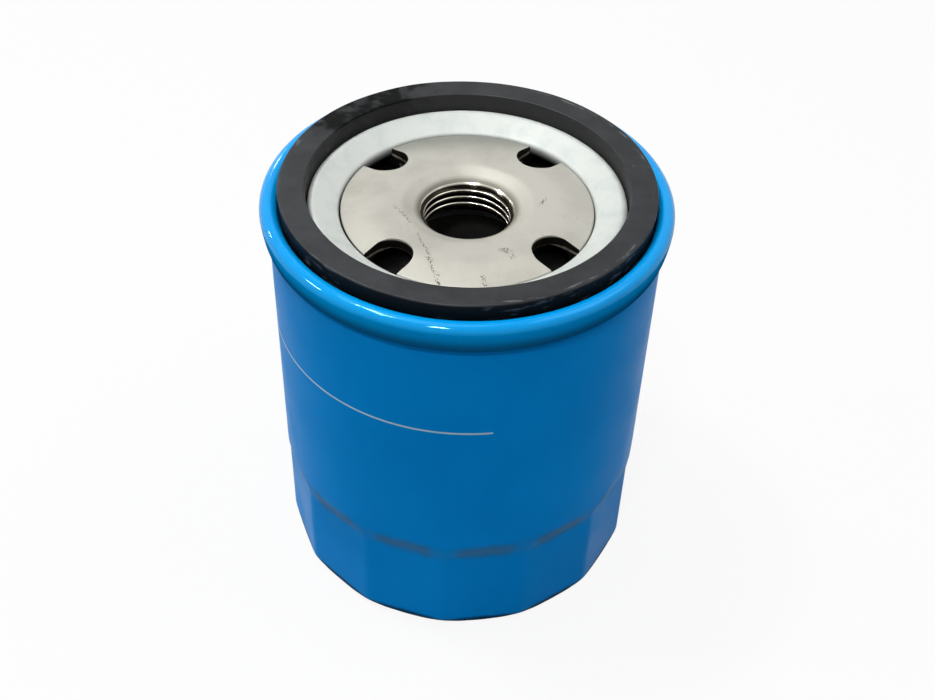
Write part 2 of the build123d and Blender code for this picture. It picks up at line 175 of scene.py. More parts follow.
@dataclass
class Turning:
    """A solid turned from a section, round the filter's axis.

    Attributes:
        name: the name of the piece.
        outline: the section's points; its two ends lie on the axis, or it is closed.
        segments: facets round the axis.
        start_degrees: where the first facet starts.
        shape: moves the turned points, given their angles, radii and heights.
        zones: material number for each point of the outline and the face that follows it.
    """

    name: str
    outline: np.ndarray
    segments: int
    start_degrees: float = 0.0
    shape: Shape | None = None
    zones: np.ndarray | None = None

    def piece(self) -> bpy.types.Object:
        """Builds the object.

        Returns:
            The object, linked to the scene, with its mesh in metres.
        """
        rows = len(self.outline)
        is_capped = bool(np.allclose(self.outline[[0, -1], 0], 0))
        turns = np.arange(self.segments) * math.tau / self.segments
        angles = (turns + math.radians(self.start_degrees))[:, None] + np.zeros((1, rows))
        radii = np.broadcast_to(self.outline[:, 0], angles.shape)
        heights = np.broadcast_to(self.outline[:, 1], angles.shape)
        if self.shape is not None:
            radii, heights = self.shape(angles, radii, heights)
        grid = np.stack([radii * np.cos(angles), radii * np.sin(angles), heights], axis=-1)
        grid = (grid * MM).reshape(-1, 3)
        numbers = np.arange(self.segments * rows).reshape(self.segments, rows)
        beside = np.roll(numbers, -1, axis=0)
        if is_capped:
            grid, faces, face_rows = self._capped(grid, numbers, beside)
        else:
            above = np.roll(numbers, -1, axis=1)
            faces = np.stack([numbers, beside, np.roll(beside, -1, axis=1), above], axis=-1)
            faces = faces.reshape(-1, 4).tolist()
            face_rows = np.tile(np.arange(rows), self.segments)
        mesh = bpy.data.meshes.new(self.name)
        mesh.from_pydata(grid.tolist(), [], faces)
        if self.zones is not None:
            mesh.polygons.foreach_set("material_index", self.zones[face_rows].astype(np.int32))
        return as_piece(self.name, mesh)

    def _capped(self, grid: np.ndarray, numbers: np.ndarray, beside: np.ndarray) -> tuple:
        """Closes a turning whose outline starts and ends on the axis.

        Args:
            grid: all the points, one ring of them at each end lying on the axis.
            numbers: the point numbers, by facet and row.
            beside: the same for the next facet.

        Returns:
            The points, the faces and the outline's row for each face.
        """
        rows = numbers.shape[1]
        low, high = len(grid), len(grid) + 1
        poles = np.vstack([grid[numbers[0, 0]], grid[numbers[0, -1]]])
        quads = np.stack([numbers[:, 1:-2], beside[:, 1:-2], beside[:, 2:-1], numbers[:, 2:-1]], -1)
        quad_rows = np.tile(np.arange(1, rows - 2), self.segments)
        faces = quads.reshape(-1, 4).tolist()
        faces += [[low, int(b), int(a)] for a, b in zip(numbers[:, 1], beside[:, 1])]
        faces += [[high, int(a), int(b)] for a, b in zip(numbers[:, -2], beside[:, -2])]
        face_rows = np.concatenate([quad_rows, np.zeros(self.segments), np.full(self.segments, rows - 2)])
        used = np.zeros(len(grid) + 2, bool)
        used[numbers[:, 1:-1].ravel()] = True
        used[low:] = True
        renumbered = np.cumsum(used) - 1
        kept = np.vstack([grid, poles])[used]
        return kept, [[int(renumbered[n]) for n in face] for face in faces], face_rows.astype(int)


def shaded(mesh: bpy.types.Mesh) -> None:
    """Shades a mesh smooth, apart from its sharp edges."""
    mesh.shade_smooth()
    mesh.set_sharp_from_angle(angle=math.radians(CREASE_DEGREES))


def as_piece(name: str, mesh: bpy.types.Mesh) -> bpy.types.Object:
    """Makes a smooth-shaded object of a mesh and links it to the scene.

    Args:
        name: the piece's name.
        mesh: its mesh, in metres.

    Returns:
        The object.
    """
    mesh.validate()
    mesh.update()
    shaded(mesh)
    piece = bpy.data.objects.new(name, mesh)
    bpy.context.scene.collection.objects.link(piece)
    return piece


def applied(piece: bpy.types.Object) -> None:
    """Bakes a piece's modifiers into its mesh and shades it again.

    Args:
        piece: the piece, with its modifiers.
    """
    depsgraph = bpy.context.evaluated_depsgraph_get()
    mesh = bpy.data.meshes.new_from_object(piece.evaluated_get(depsgraph))
    old_mesh = piece.data
    mesh.name = piece.name
    piece.modifiers.clear()
    piece.data = mesh
    bpy.data.meshes.remove(old_mesh)
    shaded(mesh)


def smooth(share: np.ndarray) -> np.ndarray:
    """Eases a share that runs from 0 to 1, so that it starts and ends level."""
    return share ** 2 * (3 - 2 * share)


def ripple(angles: np.ndarray, size: float, lobes: Sequence[int], seed: int) -> np.ndarray:
    """Sum of a few gentle waves round the axis.

    Args:
        angles: where to read it, in radians.
        size: the most that it can reach.
        lobes: how many waves go round, for each term.
        seed: sets the waves' phases.

    Returns:
        The wave's height at each angle.
    """
    phases = np.random.default_rng(seed).uniform(0, math.tau, len(lobes))
    terms = [np.sin(count * angles + phase) for count, phase in zip(lobes, phases)]
    return size * sum(terms) / len(lobes)


# ---------------------------------------------------------------------------- finishes
class Recipe:
    """Builds one node material; points are in millimetres, in the filter's own frame."""

    def __init__(self, name: str) -> None:
        """Starts an empty material with its surface shader.

        Args:
            name: the material's name.
        """
        self.material = bpy.data.materials.new(name)
        self.material.use_nodes = True
        self.tree = self.material.node_tree
        self.tree.nodes.clear()
        output = self.tree.nodes.new("ShaderNodeOutputMaterial")
        self.surface = self.tree.nodes.new("ShaderNodeBsdfPrincipled")
        self.tree.links.new(self.surface.outputs["BSDF"], output.inputs["Surface"])
        in_metres = self.tree.nodes.new("ShaderNodeTexCoord").outputs["Object"]
        inputs = {0: in_metres, "Scale": 1 / MM}
        self.place = self.node("ShaderNodeVectorMath", {"operation": "SCALE"}, inputs)

    def node(self, kind: str, settings: dict, inputs: dict, output: int | str = 0) -> Socket:
        """Adds a node.

        Args:
            kind: the node's type.
            settings: its properties.
            inputs: a value or a socket for each input, by name or number.
            output: which output to give back.

        Returns:
            The output socket.
        """
        node = self.tree.nodes.new(kind)
        for key, value in settings.items():
            setattr(node, key, value)
        for key, value in inputs.items():
            if isinstance(value, Socket):
                self.tree.links.new(value, node.inputs[key])
            else:
                node.inputs[key].default_value = value
        return node.outputs[output]

    def math(self, operation: str, first: Socket | float, second: Socket | float = 0.0) -> Socket:
        """One step of arithmetic."""
        return self.node("ShaderNodeMath", {"operation": operation}, {0: first, 1: second})

    def span(self, value: Socket, low: float, high: float, start: float = 0.0, end: float = 1.0) -> Socket:
        """Maps low..high smoothly to start..end."""
        inputs = {"Value": value, "From Min": low, "From Max": high, "To Min": start, "To Max": end}
        return self.node("ShaderNodeMapRange", {"interpolation_type": "SMOOTHSTEP"}, inputs)

    def fade(self, value: Socket, low: float, high: float) -> Socket:
        """A mask that is 1 up to low and falls smoothly to 0 at high."""
        return self.span(value, low, high, 1.0, 0.0)

    def overlap(self, *masks: Socket) -> Socket:
        """Multiplies masks.

        Args:
            masks: the masks, each from 0 to 1.

        Returns:
            The mask of where all of them lie.
        """
        shared, *others = masks
        for mask in others:
            shared = self.math("MULTIPLY", shared, mask)
        return shared

    def noise(self, size: float, detail: float, place: Socket | None = None, rough: float = 0.5) -> Socket:
        """Cloudy noise whose features are about size millimetres across."""
        inputs = {"Vector": place or self.place, "Scale": 1 / size, "Detail": detail, "Roughness": rough}
        return self.node("ShaderNodeTexNoise", {}, inputs)

    def patches(self, size: float, detail: float, low: float, high: float, start: float = 0.0,
                end: float = 1.0, rough: float = 0.5) -> Socket:
        """A value that changes in cloudy patches.

        Args:
            size: about how wide the patches are, in millimetres.
            detail: how much finer cloud lies over them.
            low: the noise that gives the start value.
            high: the noise that gives the end value.
            start: the first value.
            end: the other value.
            rough: how strong the finer cloud is.

        Returns:
            The value.
        """
        return self.span(self.noise(size, detail, rough=rough), low, high, start, end)

    def between(self, size: float, detail: float, least: float, most: float) -> Socket:
        """A value that drifts between two others, in patches of about size millimetres."""
        return self.patches(size, detail, 0.3, 0.7, least, most)

    def wander(self, size: float, detail: float, width: float) -> Socket:
        """An offset that wanders within a band as wide as width, about 0."""
        return self.math("MULTIPLY", self.math("SUBTRACT", self.noise(size, detail), 0.5), width)

    def stretched(self, scale: tuple[float, float, float]) -> Socket:
        """The place, stretched along its axes."""
        return self.node("ShaderNodeVectorMath", {"operation": "MULTIPLY"}, {0: self.place, 1: scale})

    def axis(self, name: str) -> Socket:
        """One coordinate of the place, in millimetres."""
        return self.node("ShaderNodeSeparateXYZ", {}, {0: self.place}, name)

    def radius(self, centre: tuple[float, float] = (0.0, 0.0)) -> Socket:
        """Distance from an upright line, at first the filter's axis.

        Args:
            centre: where the line stands, X and Y.

        Returns:
            The distance, in millimetres.
        """
        offsets = [self.math("SUBTRACT", self.axis(name), at) for name, at in zip("XY", centre)]
        squares = [self.math("MULTIPLY", offset, offset) for offset in offsets]
        return self.math("SQRT", self.math("ADD", *squares))

    def azimuth(self) -> Socket:
        """Angle round the filter's axis, in degrees."""
        angle = self.math("ARCTAN2", self.axis("Y"), self.axis("X"))
        return self.math("DEGREES", angle)

    def round_place(self, radius: float) -> Socket:
        """A place for texture that runs round the axis.

        Args:
            radius: the radius that lengths round the axis are measured at.

        Returns:
            The length round the axis, the radius and the height.
        """
        turn = self.math("ARCTAN2", self.axis("Y"), self.axis("X"))
        inputs = {
            "X": self.math("MULTIPLY", turn, radius),
            "Y": self.radius(),
            "Z": self.axis("Z"),
        }
        return self.node("ShaderNodeCombineXYZ", {}, inputs)

    def blend(self, share: Socket, first: Socket | tuple, second: Socket | tuple) -> Socket:
        """Mixes two colours.

        Args:
            share: how much of the second colour there is, from 0 to 1.
            first: the first colour.
            second: the second colour.

        Returns:
            The mixed colour.
        """
        return self.node("ShaderNodeMix", {"data_type": "RGBA"}, {0: share, 6: first, 7: second}, 2)

    def bump(self, height: Socket, depth: float) -> Socket:
        """Bumps the surface by depth millimetres."""
        inputs = {"Height": height, "Distance": depth * MM, "Strength": 1.0}
        return self.node("ShaderNodeBump", {}, inputs)

    def set(self, **inputs: Socket | float | tuple) -> None:
        """Sets the surface shader's inputs.

        Args:
            inputs: a value or a socket for each input; an underscore in a name stands for a space.
        """
        for key, value in inputs.items():
            socket = self.surface.inputs[key.replace("_", " ")]
            if isinstance(value, Socket):
                self.tree.links.new(value, socket)
            else:
                socket.default_value = value


def linear(red: float, green: float, blue: float) -> tuple[float, float, float, float]:
    """Turns a colour from screen values into scene values.

    Args:
        red: how red it is, from 0 to 255.
        green: how green.
        blue: how blue.

    Returns:
        The colour, with its alpha.
    """
    values = [value / 255 for value in (red, green, blue)]
    values = [v / 12.92 if v <= 0.04045 else ((v + 0.055) / 1.055) ** 2.4 for v in values]
    return (*values, 1.0)


@dataclass(frozen=True)
class Rule:
    """A thin line printed round the can.

    Attributes:
        height: its middle, above the base.
        thickness: its width.
        start_degrees: where it starts, round the axis.
        end_degrees: where it ends.
        soft_edge: how far the ink spreads at its edges.
    """

    height: float
    thickness: float
    start_degrees: float
    end_degrees: float
    soft_edge: float = 0.05


@dataclass(frozen=True)
class StepShade:
    """Painted shade where the wall steps in to each flat.

    Attributes:
        height: the middle of the step, above the base.
        reach: how far it spreads up and down at the middle of a flat.
        count: how many flats go round.
        corner_degrees: where one corner between two flats lies, round the axis.
        share: how much it covers the paint.
        core: share of the reach over which it is densest.
        corner_share: how much of it is left at the corners between flats.
    """

    height: float
    reach: float
    count: int
    corner_degrees: float
    share: float
    core: float = 0.2
    corner_share: float = 0.22

    def mask(self, mix: Recipe) -> Socket:
        """Where the painted shade lies, from 0 to 1.

        Args:
            mix: the recipe that it is part of.

        Returns:
            The mask.
        """
        turns = mix.math("MULTIPLY", mix.math("SUBTRACT", mix.azimuth(), self.corner_degrees), self.count)
        swing = mix.math("COSINE", mix.math("RADIANS", turns))
        on_flat = mix.span(swing, 0.0, 1.0, 1.0, self.corner_share)
        ragged = mix.wander(6.0, 2.0, self.reach)
        off = mix.math("SUBTRACT", mix.math("ADD", mix.axis("Z"), ragged), self.height)
        in_band = mix.span(mix.math("ABSOLUTE", off), self.core * self.reach, self.reach, self.share, 0.0)
        return mix.overlap(in_band, on_flat)


@dataclass(frozen=True)
class ShadeBelow:
    """Painted shade that darkens the paint towards a lower edge.

    Attributes:
        low: it is darkest from here down.
        high: it starts here.
        share: how much it covers the paint.
        ragged: how far its edge wanders.
        colour: what it darkens to.
    """

    low: float
    high: float
    share: float
    ragged: float
    colour: tuple[float, float, float]

    def mask(self, mix: Recipe) -> Socket:
        """Where the painted shade lies, from 0 to 1.

        Args:
            mix: the recipe that it is part of.

        Returns:
            The mask.
        """
        height = mix.math("ADD", mix.axis("Z"), mix.wander(2.5, 3.0, self.ragged))
        return mix.span(height, self.low, self.high, self.share, 0.0)


@dataclass(frozen=True)
class Enamel:
    """Stoving enamel, with the faint dimples of sprayed paint.

    Attributes:
        name: the material's name.
        colour: the paint's colour.
        dark: the colour of its darker patches.
        ink: colour of the printed rule.
        painted_darkening: colour of the painted shade over the step.
        sheen: tint of its reflections.
        gloss: how much it reflects.
        dull_gloss: how much it reflects below gloss_heights.
        gloss_heights: the heights between which the gloss comes in, if it isn't even.
        roughness: how blurred its reflections are.
        peel: depth of the dimples.
        rule: the printed line, if there is one.
        step: the painted shade over the step, if there is one.
        fade: painted shade that darkens the paint below, if there is any.
    """

    name: str
    colour: tuple[float, float, float]
    dark: tuple[float, float, float]
    ink: tuple[float, float, float] = (206, 238, 255)
    painted_darkening: tuple[float, float, float] = (62, 112, 146)
    sheen: tuple[float, float, float, float] = (0.3, 0.75, 1.0, 1.0)
    gloss: float = 0.5
    dull_gloss: float = 0.0
    gloss_heights: tuple[float, float] | None = None
    roughness: float = 0.05
    peel: float = 0.0015
    rule: Rule | None = None
    step: StepShade | None = None
    fade: ShadeBelow | None = None

    def material(self) -> bpy.types.Material:
        """Builds the material.

        Returns:
            The material.
        """
        mix = Recipe(self.name)
        drift = mix.patches(size=26.0, detail=2.0, low=0.35, high=0.7)
        colour = mix.blend(drift, linear(*self.colour), linear(*self.dark))
        # painted shade where the wall steps in to each flat
        if self.step is not None:
            colour = mix.blend(self.step.mask(mix), colour, linear(*self.painted_darkening))
        # painted shade towards the lower edge
        if self.fade is not None:
            colour = mix.blend(self.fade.mask(mix), colour, linear(*self.fade.colour))
        if self.rule is not None:
            colour = mix.blend(self._printed(mix, self.rule), colour, linear(*self.ink))
        gloss = self.gloss
        if self.gloss_heights is not None:
            gloss = mix.span(mix.axis("Z"), *self.gloss_heights, self.dull_gloss, self.gloss)
        mix.set(
            Base_Color=colour,
            Roughness=mix.patches(9.0, 3.0, 0.3, 0.8, self.roughness, 1.4 * self.roughness),
            Specular_IOR_Level=gloss,
            Specular_Tint=self.sheen,
            Normal=mix.bump(mix.noise(1.6, 1.0), self.peel),
        )
        return mix.material

    @staticmethod
    def _printed(mix: Recipe, rule: Rule) -> Socket:
        """Where the ink of a rule lies, from 0 to 1.

        Args:
            mix: the recipe that it is part of.
            rule: the printed line.

        Returns:
            The mask.
        """
        off = mix.math("ABSOLUTE", mix.math("SUBTRACT", mix.axis("Z"), rule.height))
        in_line = mix.fade(off, rule.thickness / 2, rule.thickness / 2 + rule.soft_edge)
        azimuth = mix.azimuth()
        after_start = mix.math("GREATER_THAN", azimuth, rule.start_degrees)
        before_end = mix.math("LESS_THAN", azimuth, rule.end_degrees)
        worn = mix.patches(size=0.7, detail=2.0, low=0.25, high=0.45, start=0.85)
        return mix.overlap(in_line, after_start, before_end, worn)


@dataclass(frozen=True)
class ZincPlate:
    """Bright zinc on pressed steel, with faint cloudy spangle and drawing marks.

    Attributes:
        name: the material's name.
        colour: the zinc's colour.
        cloud: the colour of its spangle.
        shade: the colour of the painted shade down inside the lip.
        lip_radius: the lip lies inside this radius.
        lip_height: down the lip it darkens from this height.
        lip_fade: how far below that it is darkest.
        metallic: how far it mirrors as metal.
        specular: how much its coating reflects.
        roughness: how blurred its reflections are, at least and at most.
    """

    name: str
    colour: tuple[float, float, float] = (222, 226, 222)
    cloud: tuple[float, float, float] = (208, 216, 211)
    shade: tuple[float, float, float] = (50, 55, 49)
    lip_radius: float = 25.2
    lip_height: float = 82.1
    lip_fade: float = 1.5
    metallic: float = 0.1
    specular: float = 0.25
    roughness: tuple[float, float] = (0.46, 0.58)

    def material(self) -> bpy.types.Material:
        """Builds the material.

        Returns:
            The material.
        """
        mix = Recipe(self.name)
        clouds = mix.patches(size=4.2, detail=4.0, low=0.42, high=0.72, rough=0.62)
        marks = mix.noise(0.35, 3.0, place=mix.round_place(8.0))
        colour = mix.blend(clouds, linear(*self.colour), linear(*self.cloud))
        # painted shade down inside the lip
        on_lip = mix.math("LESS_THAN", mix.radius(), self.lip_radius)
        below = mix.fade(mix.axis("Z"), self.lip_height - self.lip_fade, self.lip_height)
        colour = mix.blend(mix.overlap(on_lip, below), colour, linear(*self.shade))
        mix.set(
            Base_Color=colour,
            Metallic=self.metallic,
            Roughness=mix.between(3.0, 4.0, *self.roughness),
            Specular_IOR_Level=self.specular,
            Normal=mix.bump(marks, 0.004),
        )
        return mix.material


@dataclass(frozen=True)
class Scratch:
    """A thin, broken scratch across a flat face, in plan.

    Attributes:
        start: its first end, X and Y.
        end: its other end.
        width: half of its width; it wanders up to twice as far.
        taper: how far from its ends it fades out.
    """

    start: tuple[float, float]
    end: tuple[float, float]
    width: float
    taper: float = 1.0

    def mask(self, mix: Recipe) -> Socket:
        """Where the scratch lies, from 0 to 1.

        Args:
            mix: the recipe that it is part of.

        Returns:
            The mask.
        """
        run = Vector(self.end) - Vector(self.start)
        ahead = run.normalized()
        along = self._reach(mix, ahead)
        beside = self._reach(mix, Vector((-ahead.y, ahead.x)))
        off = mix.math("ABSOLUTE", mix.math("ADD", beside, mix.wander(4.0, 2.0, 4 * self.width)))
        on_line = mix.fade(off, 0.1 * self.width, self.width)
        broken = mix.patches(size=0.32, detail=3.0, low=0.5, high=0.6)
        begun = mix.span(along, 0.0, self.taper)
        unfinished = mix.fade(along, run.length - self.taper, run.length)
        return mix.overlap(on_line, broken, begun, unfinished)

    def _reach(self, mix: Recipe, heading: Vector) -> Socket:
        """How far the place lies from the scratch's start, along a heading.

        Args:
            mix: the recipe that it is part of.
            heading: the heading, in plan.

        Returns:
            The distance, in millimetres.
        """
        east = mix.math("MULTIPLY", mix.math("SUBTRACT", mix.axis("X"), self.start[0]), heading.x)
        north = mix.math("MULTIPLY", mix.math("SUBTRACT", mix.axis("Y"), self.start[1]), heading.y)
        return mix.math("ADD", east, north)


@dataclass(frozen=True)
class OiledSteel:
    """Cold-rolled steel: warm, faintly smudged and lightly scratched, with painted shade and a painted dark
    reflection.

    Attributes:
        name: the material's name.
        gap_shade_radius: outside this radius it is dark with painted shade, in the gap under the lid's lip.
        gap_shade_centre: centre of that shade's edge, X and Y.
        gap_shade_edge: how soft that edge is.
        scratches: its scratches.
        thread_shade_radius: where the painted shade round the thread ends.
        thread_shade_fade: how far the painted shade fades before its end.
        colour: the steel's colour.
        smudge: the colour of its smudges.
        painted_darkening: the colour of the painted dark reflection towards the back.
        darkening_heading: the way that the painted dark reflection deepens.
        darkening_start: how far along that heading it starts.
        darkening_end: how far along it it is darkest.
        speck: the colour of specks and scratches.
        thread_shade: the colour of the painted shade round the thread.
        gap_shade: the colour of the painted shade in the gap.
        metallic: how far it mirrors as metal.
        specular: how much its film reflects.
        roughness: how blurred its reflections are, at least and at most.
    """

    name: str
    gap_shade_radius: float
    scratches: Sequence[Scratch]
    gap_shade_centre: tuple[float, float] = (0.06, -0.14)
    gap_shade_edge: float = 0.12
    thread_shade_radius: float = 10.6
    thread_shade_fade: float = 1.5
    colour: tuple[float, float, float] = (196, 194, 184)
    smudge: tuple[float, float, float] = (183, 181, 171)
    painted_darkening: tuple[float, float, float] = (138, 141, 134)
    darkening_heading: tuple[float, float, float] = (-0.15, 1.0, 0.0)
    darkening_start: float = 14.5
    darkening_end: float = 23.0
    speck: tuple[float, float, float] = (92, 88, 76)
    thread_shade: tuple[float, float, float] = (120, 117, 104)
    gap_shade: tuple[float, float, float] = (34, 32, 28)
    metallic: float = 0.2
    specular: float = 0.3
    roughness: tuple[float, float] = (0.5, 0.58)

    def material(self) -> bpy.types.Material:
        """Builds the material.

        Returns:
            The material.
        """
        mix = Recipe(self.name)
        smudges = mix.patches(size=9.0, detail=4.0, low=0.4, high=0.72, rough=0.55)
        colour = mix.blend(smudges, linear(*self.colour), linear(*self.smudge))
        # painted reflection of the dark gasket, deepening towards the back of the plate
        inputs = {0: mix.place, 1: self.darkening_heading}
        across = mix.node("ShaderNodeVectorMath", {"operation": "DOT_PRODUCT"}, inputs, "Value")
        darkened_back = mix.span(across, self.darkening_start, self.darkening_end, 0.0, 0.75)
        colour = mix.blend(darkened_back, colour, linear(*self.painted_darkening))
        specks = mix.patches(size=0.42, detail=3.0, low=0.64, high=0.72)
        where = mix.patches(size=5.0, detail=2.0, low=0.54, high=0.64, end=0.6)
        colour = mix.blend(mix.overlap(specks, where), colour, linear(*self.speck))
        for scratch in self.scratches:
            colour = mix.blend(scratch.mask(mix), colour, linear(*self.speck))
        # painted shade round the thread's entry
        near_thread = mix.span(mix.radius(), self.thread_shade_radius - self.thread_shade_fade, self.thread_shade_radius, 0.8, 0.0)
        colour = mix.blend(near_thread, colour, linear(*self.thread_shade))
        # painted shade in the gap between the plate's edge and the lid
        reach = mix.radius(self.gap_shade_centre)
        in_gap_shade = mix.span(reach, self.gap_shade_radius, self.gap_shade_radius + self.gap_shade_edge)
        colour = mix.blend(in_gap_shade, colour, linear(*self.gap_shade))
        mix.set(
            Base_Color=colour,
            Metallic=self.metallic,
            Roughness=mix.between(5.0, 4.0, *self.roughness),
            Specular_IOR_Level=self.specular,
            Normal=mix.bump(mix.noise(0.25, 3.0), 0.0015),
        )
        return mix.material


@dataclass(frozen=True)
class CutSteel:
    """Freshly cut steel, as on the thread, with fine tool marks round the axis.

    Attributes:
        name: the material's name.
        crest_radius: the thread keeps its own colour inside this radius.
        root_radius: it is fully in painted shade outside this one.
        root_shade_top: the painted shade ends at this height.
        root_shade_fade: how far it thins out below that.
        colour: the steel's colour.
        root_shade: the colour of the painted shade in the thread's roots.
        metallic: how far it mirrors as metal.
        roughness: how blurred its reflections are.
    """

    name: str
    crest_radius: float
    root_radius: float
    root_shade_top: float
    root_shade_fade: float = 0.3
    colour: tuple[float, float, float] = (226, 221, 206)
    root_shade: tuple[float, float, float] = (40, 37, 31)
    metallic: float = 1.0
    roughness: float = 0.16

    def material(self) -> bpy.types.Material:
        """Builds the material.

        Returns:
            The material.
        """
        mix = Recipe(self.name)
        marks = mix.noise(0.3, 2.0, place=mix.round_place(0.6))
        darker = linear(*[0.85 * value for value in self.colour])
        colour = mix.blend(marks, linear(*self.colour), darker)
        # painted shade down in the thread's roots
        in_root = mix.span(mix.radius(), self.crest_radius, self.root_radius)
        in_thread = mix.fade(mix.axis("Z"), self.root_shade_top - self.root_shade_fade, self.root_shade_top)
        colour = mix.blend(mix.overlap(in_root, in_thread), colour, linear(*self.root_shade))
        mix.set(
            Base_Color=colour,
            Metallic=self.metallic,
            Roughness=mix.span(marks, 0.3, 0.7, self.roughness, 1.3 * self.roughness),
            Normal=mix.bump(marks, 0.0003),
        )
        return mix.material


@dataclass(frozen=True)
class ShearedSteel:
    """The wall of a punched hole: dark with painted shade, with a bright burr along its far edge.

    Attributes:
        name: the material's name.
        burr_heights: where the burr starts and ends.
        rim_height: above this the edge is rubbed bright.
        colour: the wall's colour, dark with painted shade.
        burr: the burr's colour.
        rim: the rubbed edge's colour.
        metallic: how far it mirrors as metal.
        specular: how much its film reflects.
        roughness: how blurred its reflections are, at least and at most.
    """

    name: str
    burr_heights: tuple[float, float]
    rim_height: float
    colour: tuple[float, float, float] = (26, 24, 20)
    burr: tuple[float, float, float] = (176, 170, 156)
    rim: tuple[float, float, float] = (204, 201, 190)
    metallic: float = 0.3
    specular: float = 0.2
    roughness: tuple[float, float] = (0.4, 0.5)

    def material(self) -> bpy.types.Material:
        """Builds the material.

        Returns:
            The material.
        """
        mix = Recipe(self.name)
        height = mix.axis("Z")
        low, high = self.burr_heights
        torn = mix.patches(size=0.9, detail=2.0, low=0.3, high=0.55, start=0.45)
        above = mix.span(height, low - 0.06, low + 0.06)
        below = mix.fade(height, high - 0.12, high + 0.12)
        in_burr = mix.overlap(above, below, torn)
        # the wall's dark colour is painted shade down inside the hole
        colour = mix.blend(in_burr, linear(*self.colour), linear(*self.burr))
        rubbed = mix.span(height, self.rim_height - 0.05, self.rim_height + 0.05)
        mix.set(
            Base_Color=mix.blend(rubbed, colour, linear(*self.rim)),
            Metallic=self.metallic,
            Roughness=mix.between(0.6, 2.0, *self.roughness),
            Specular_IOR_Level=self.specular,
            Normal=mix.bump(mix.noise(0.3, 2.0, place=mix.stretched((1.0, 1.0, 0.2))), 0.002),
        )
        return mix.material


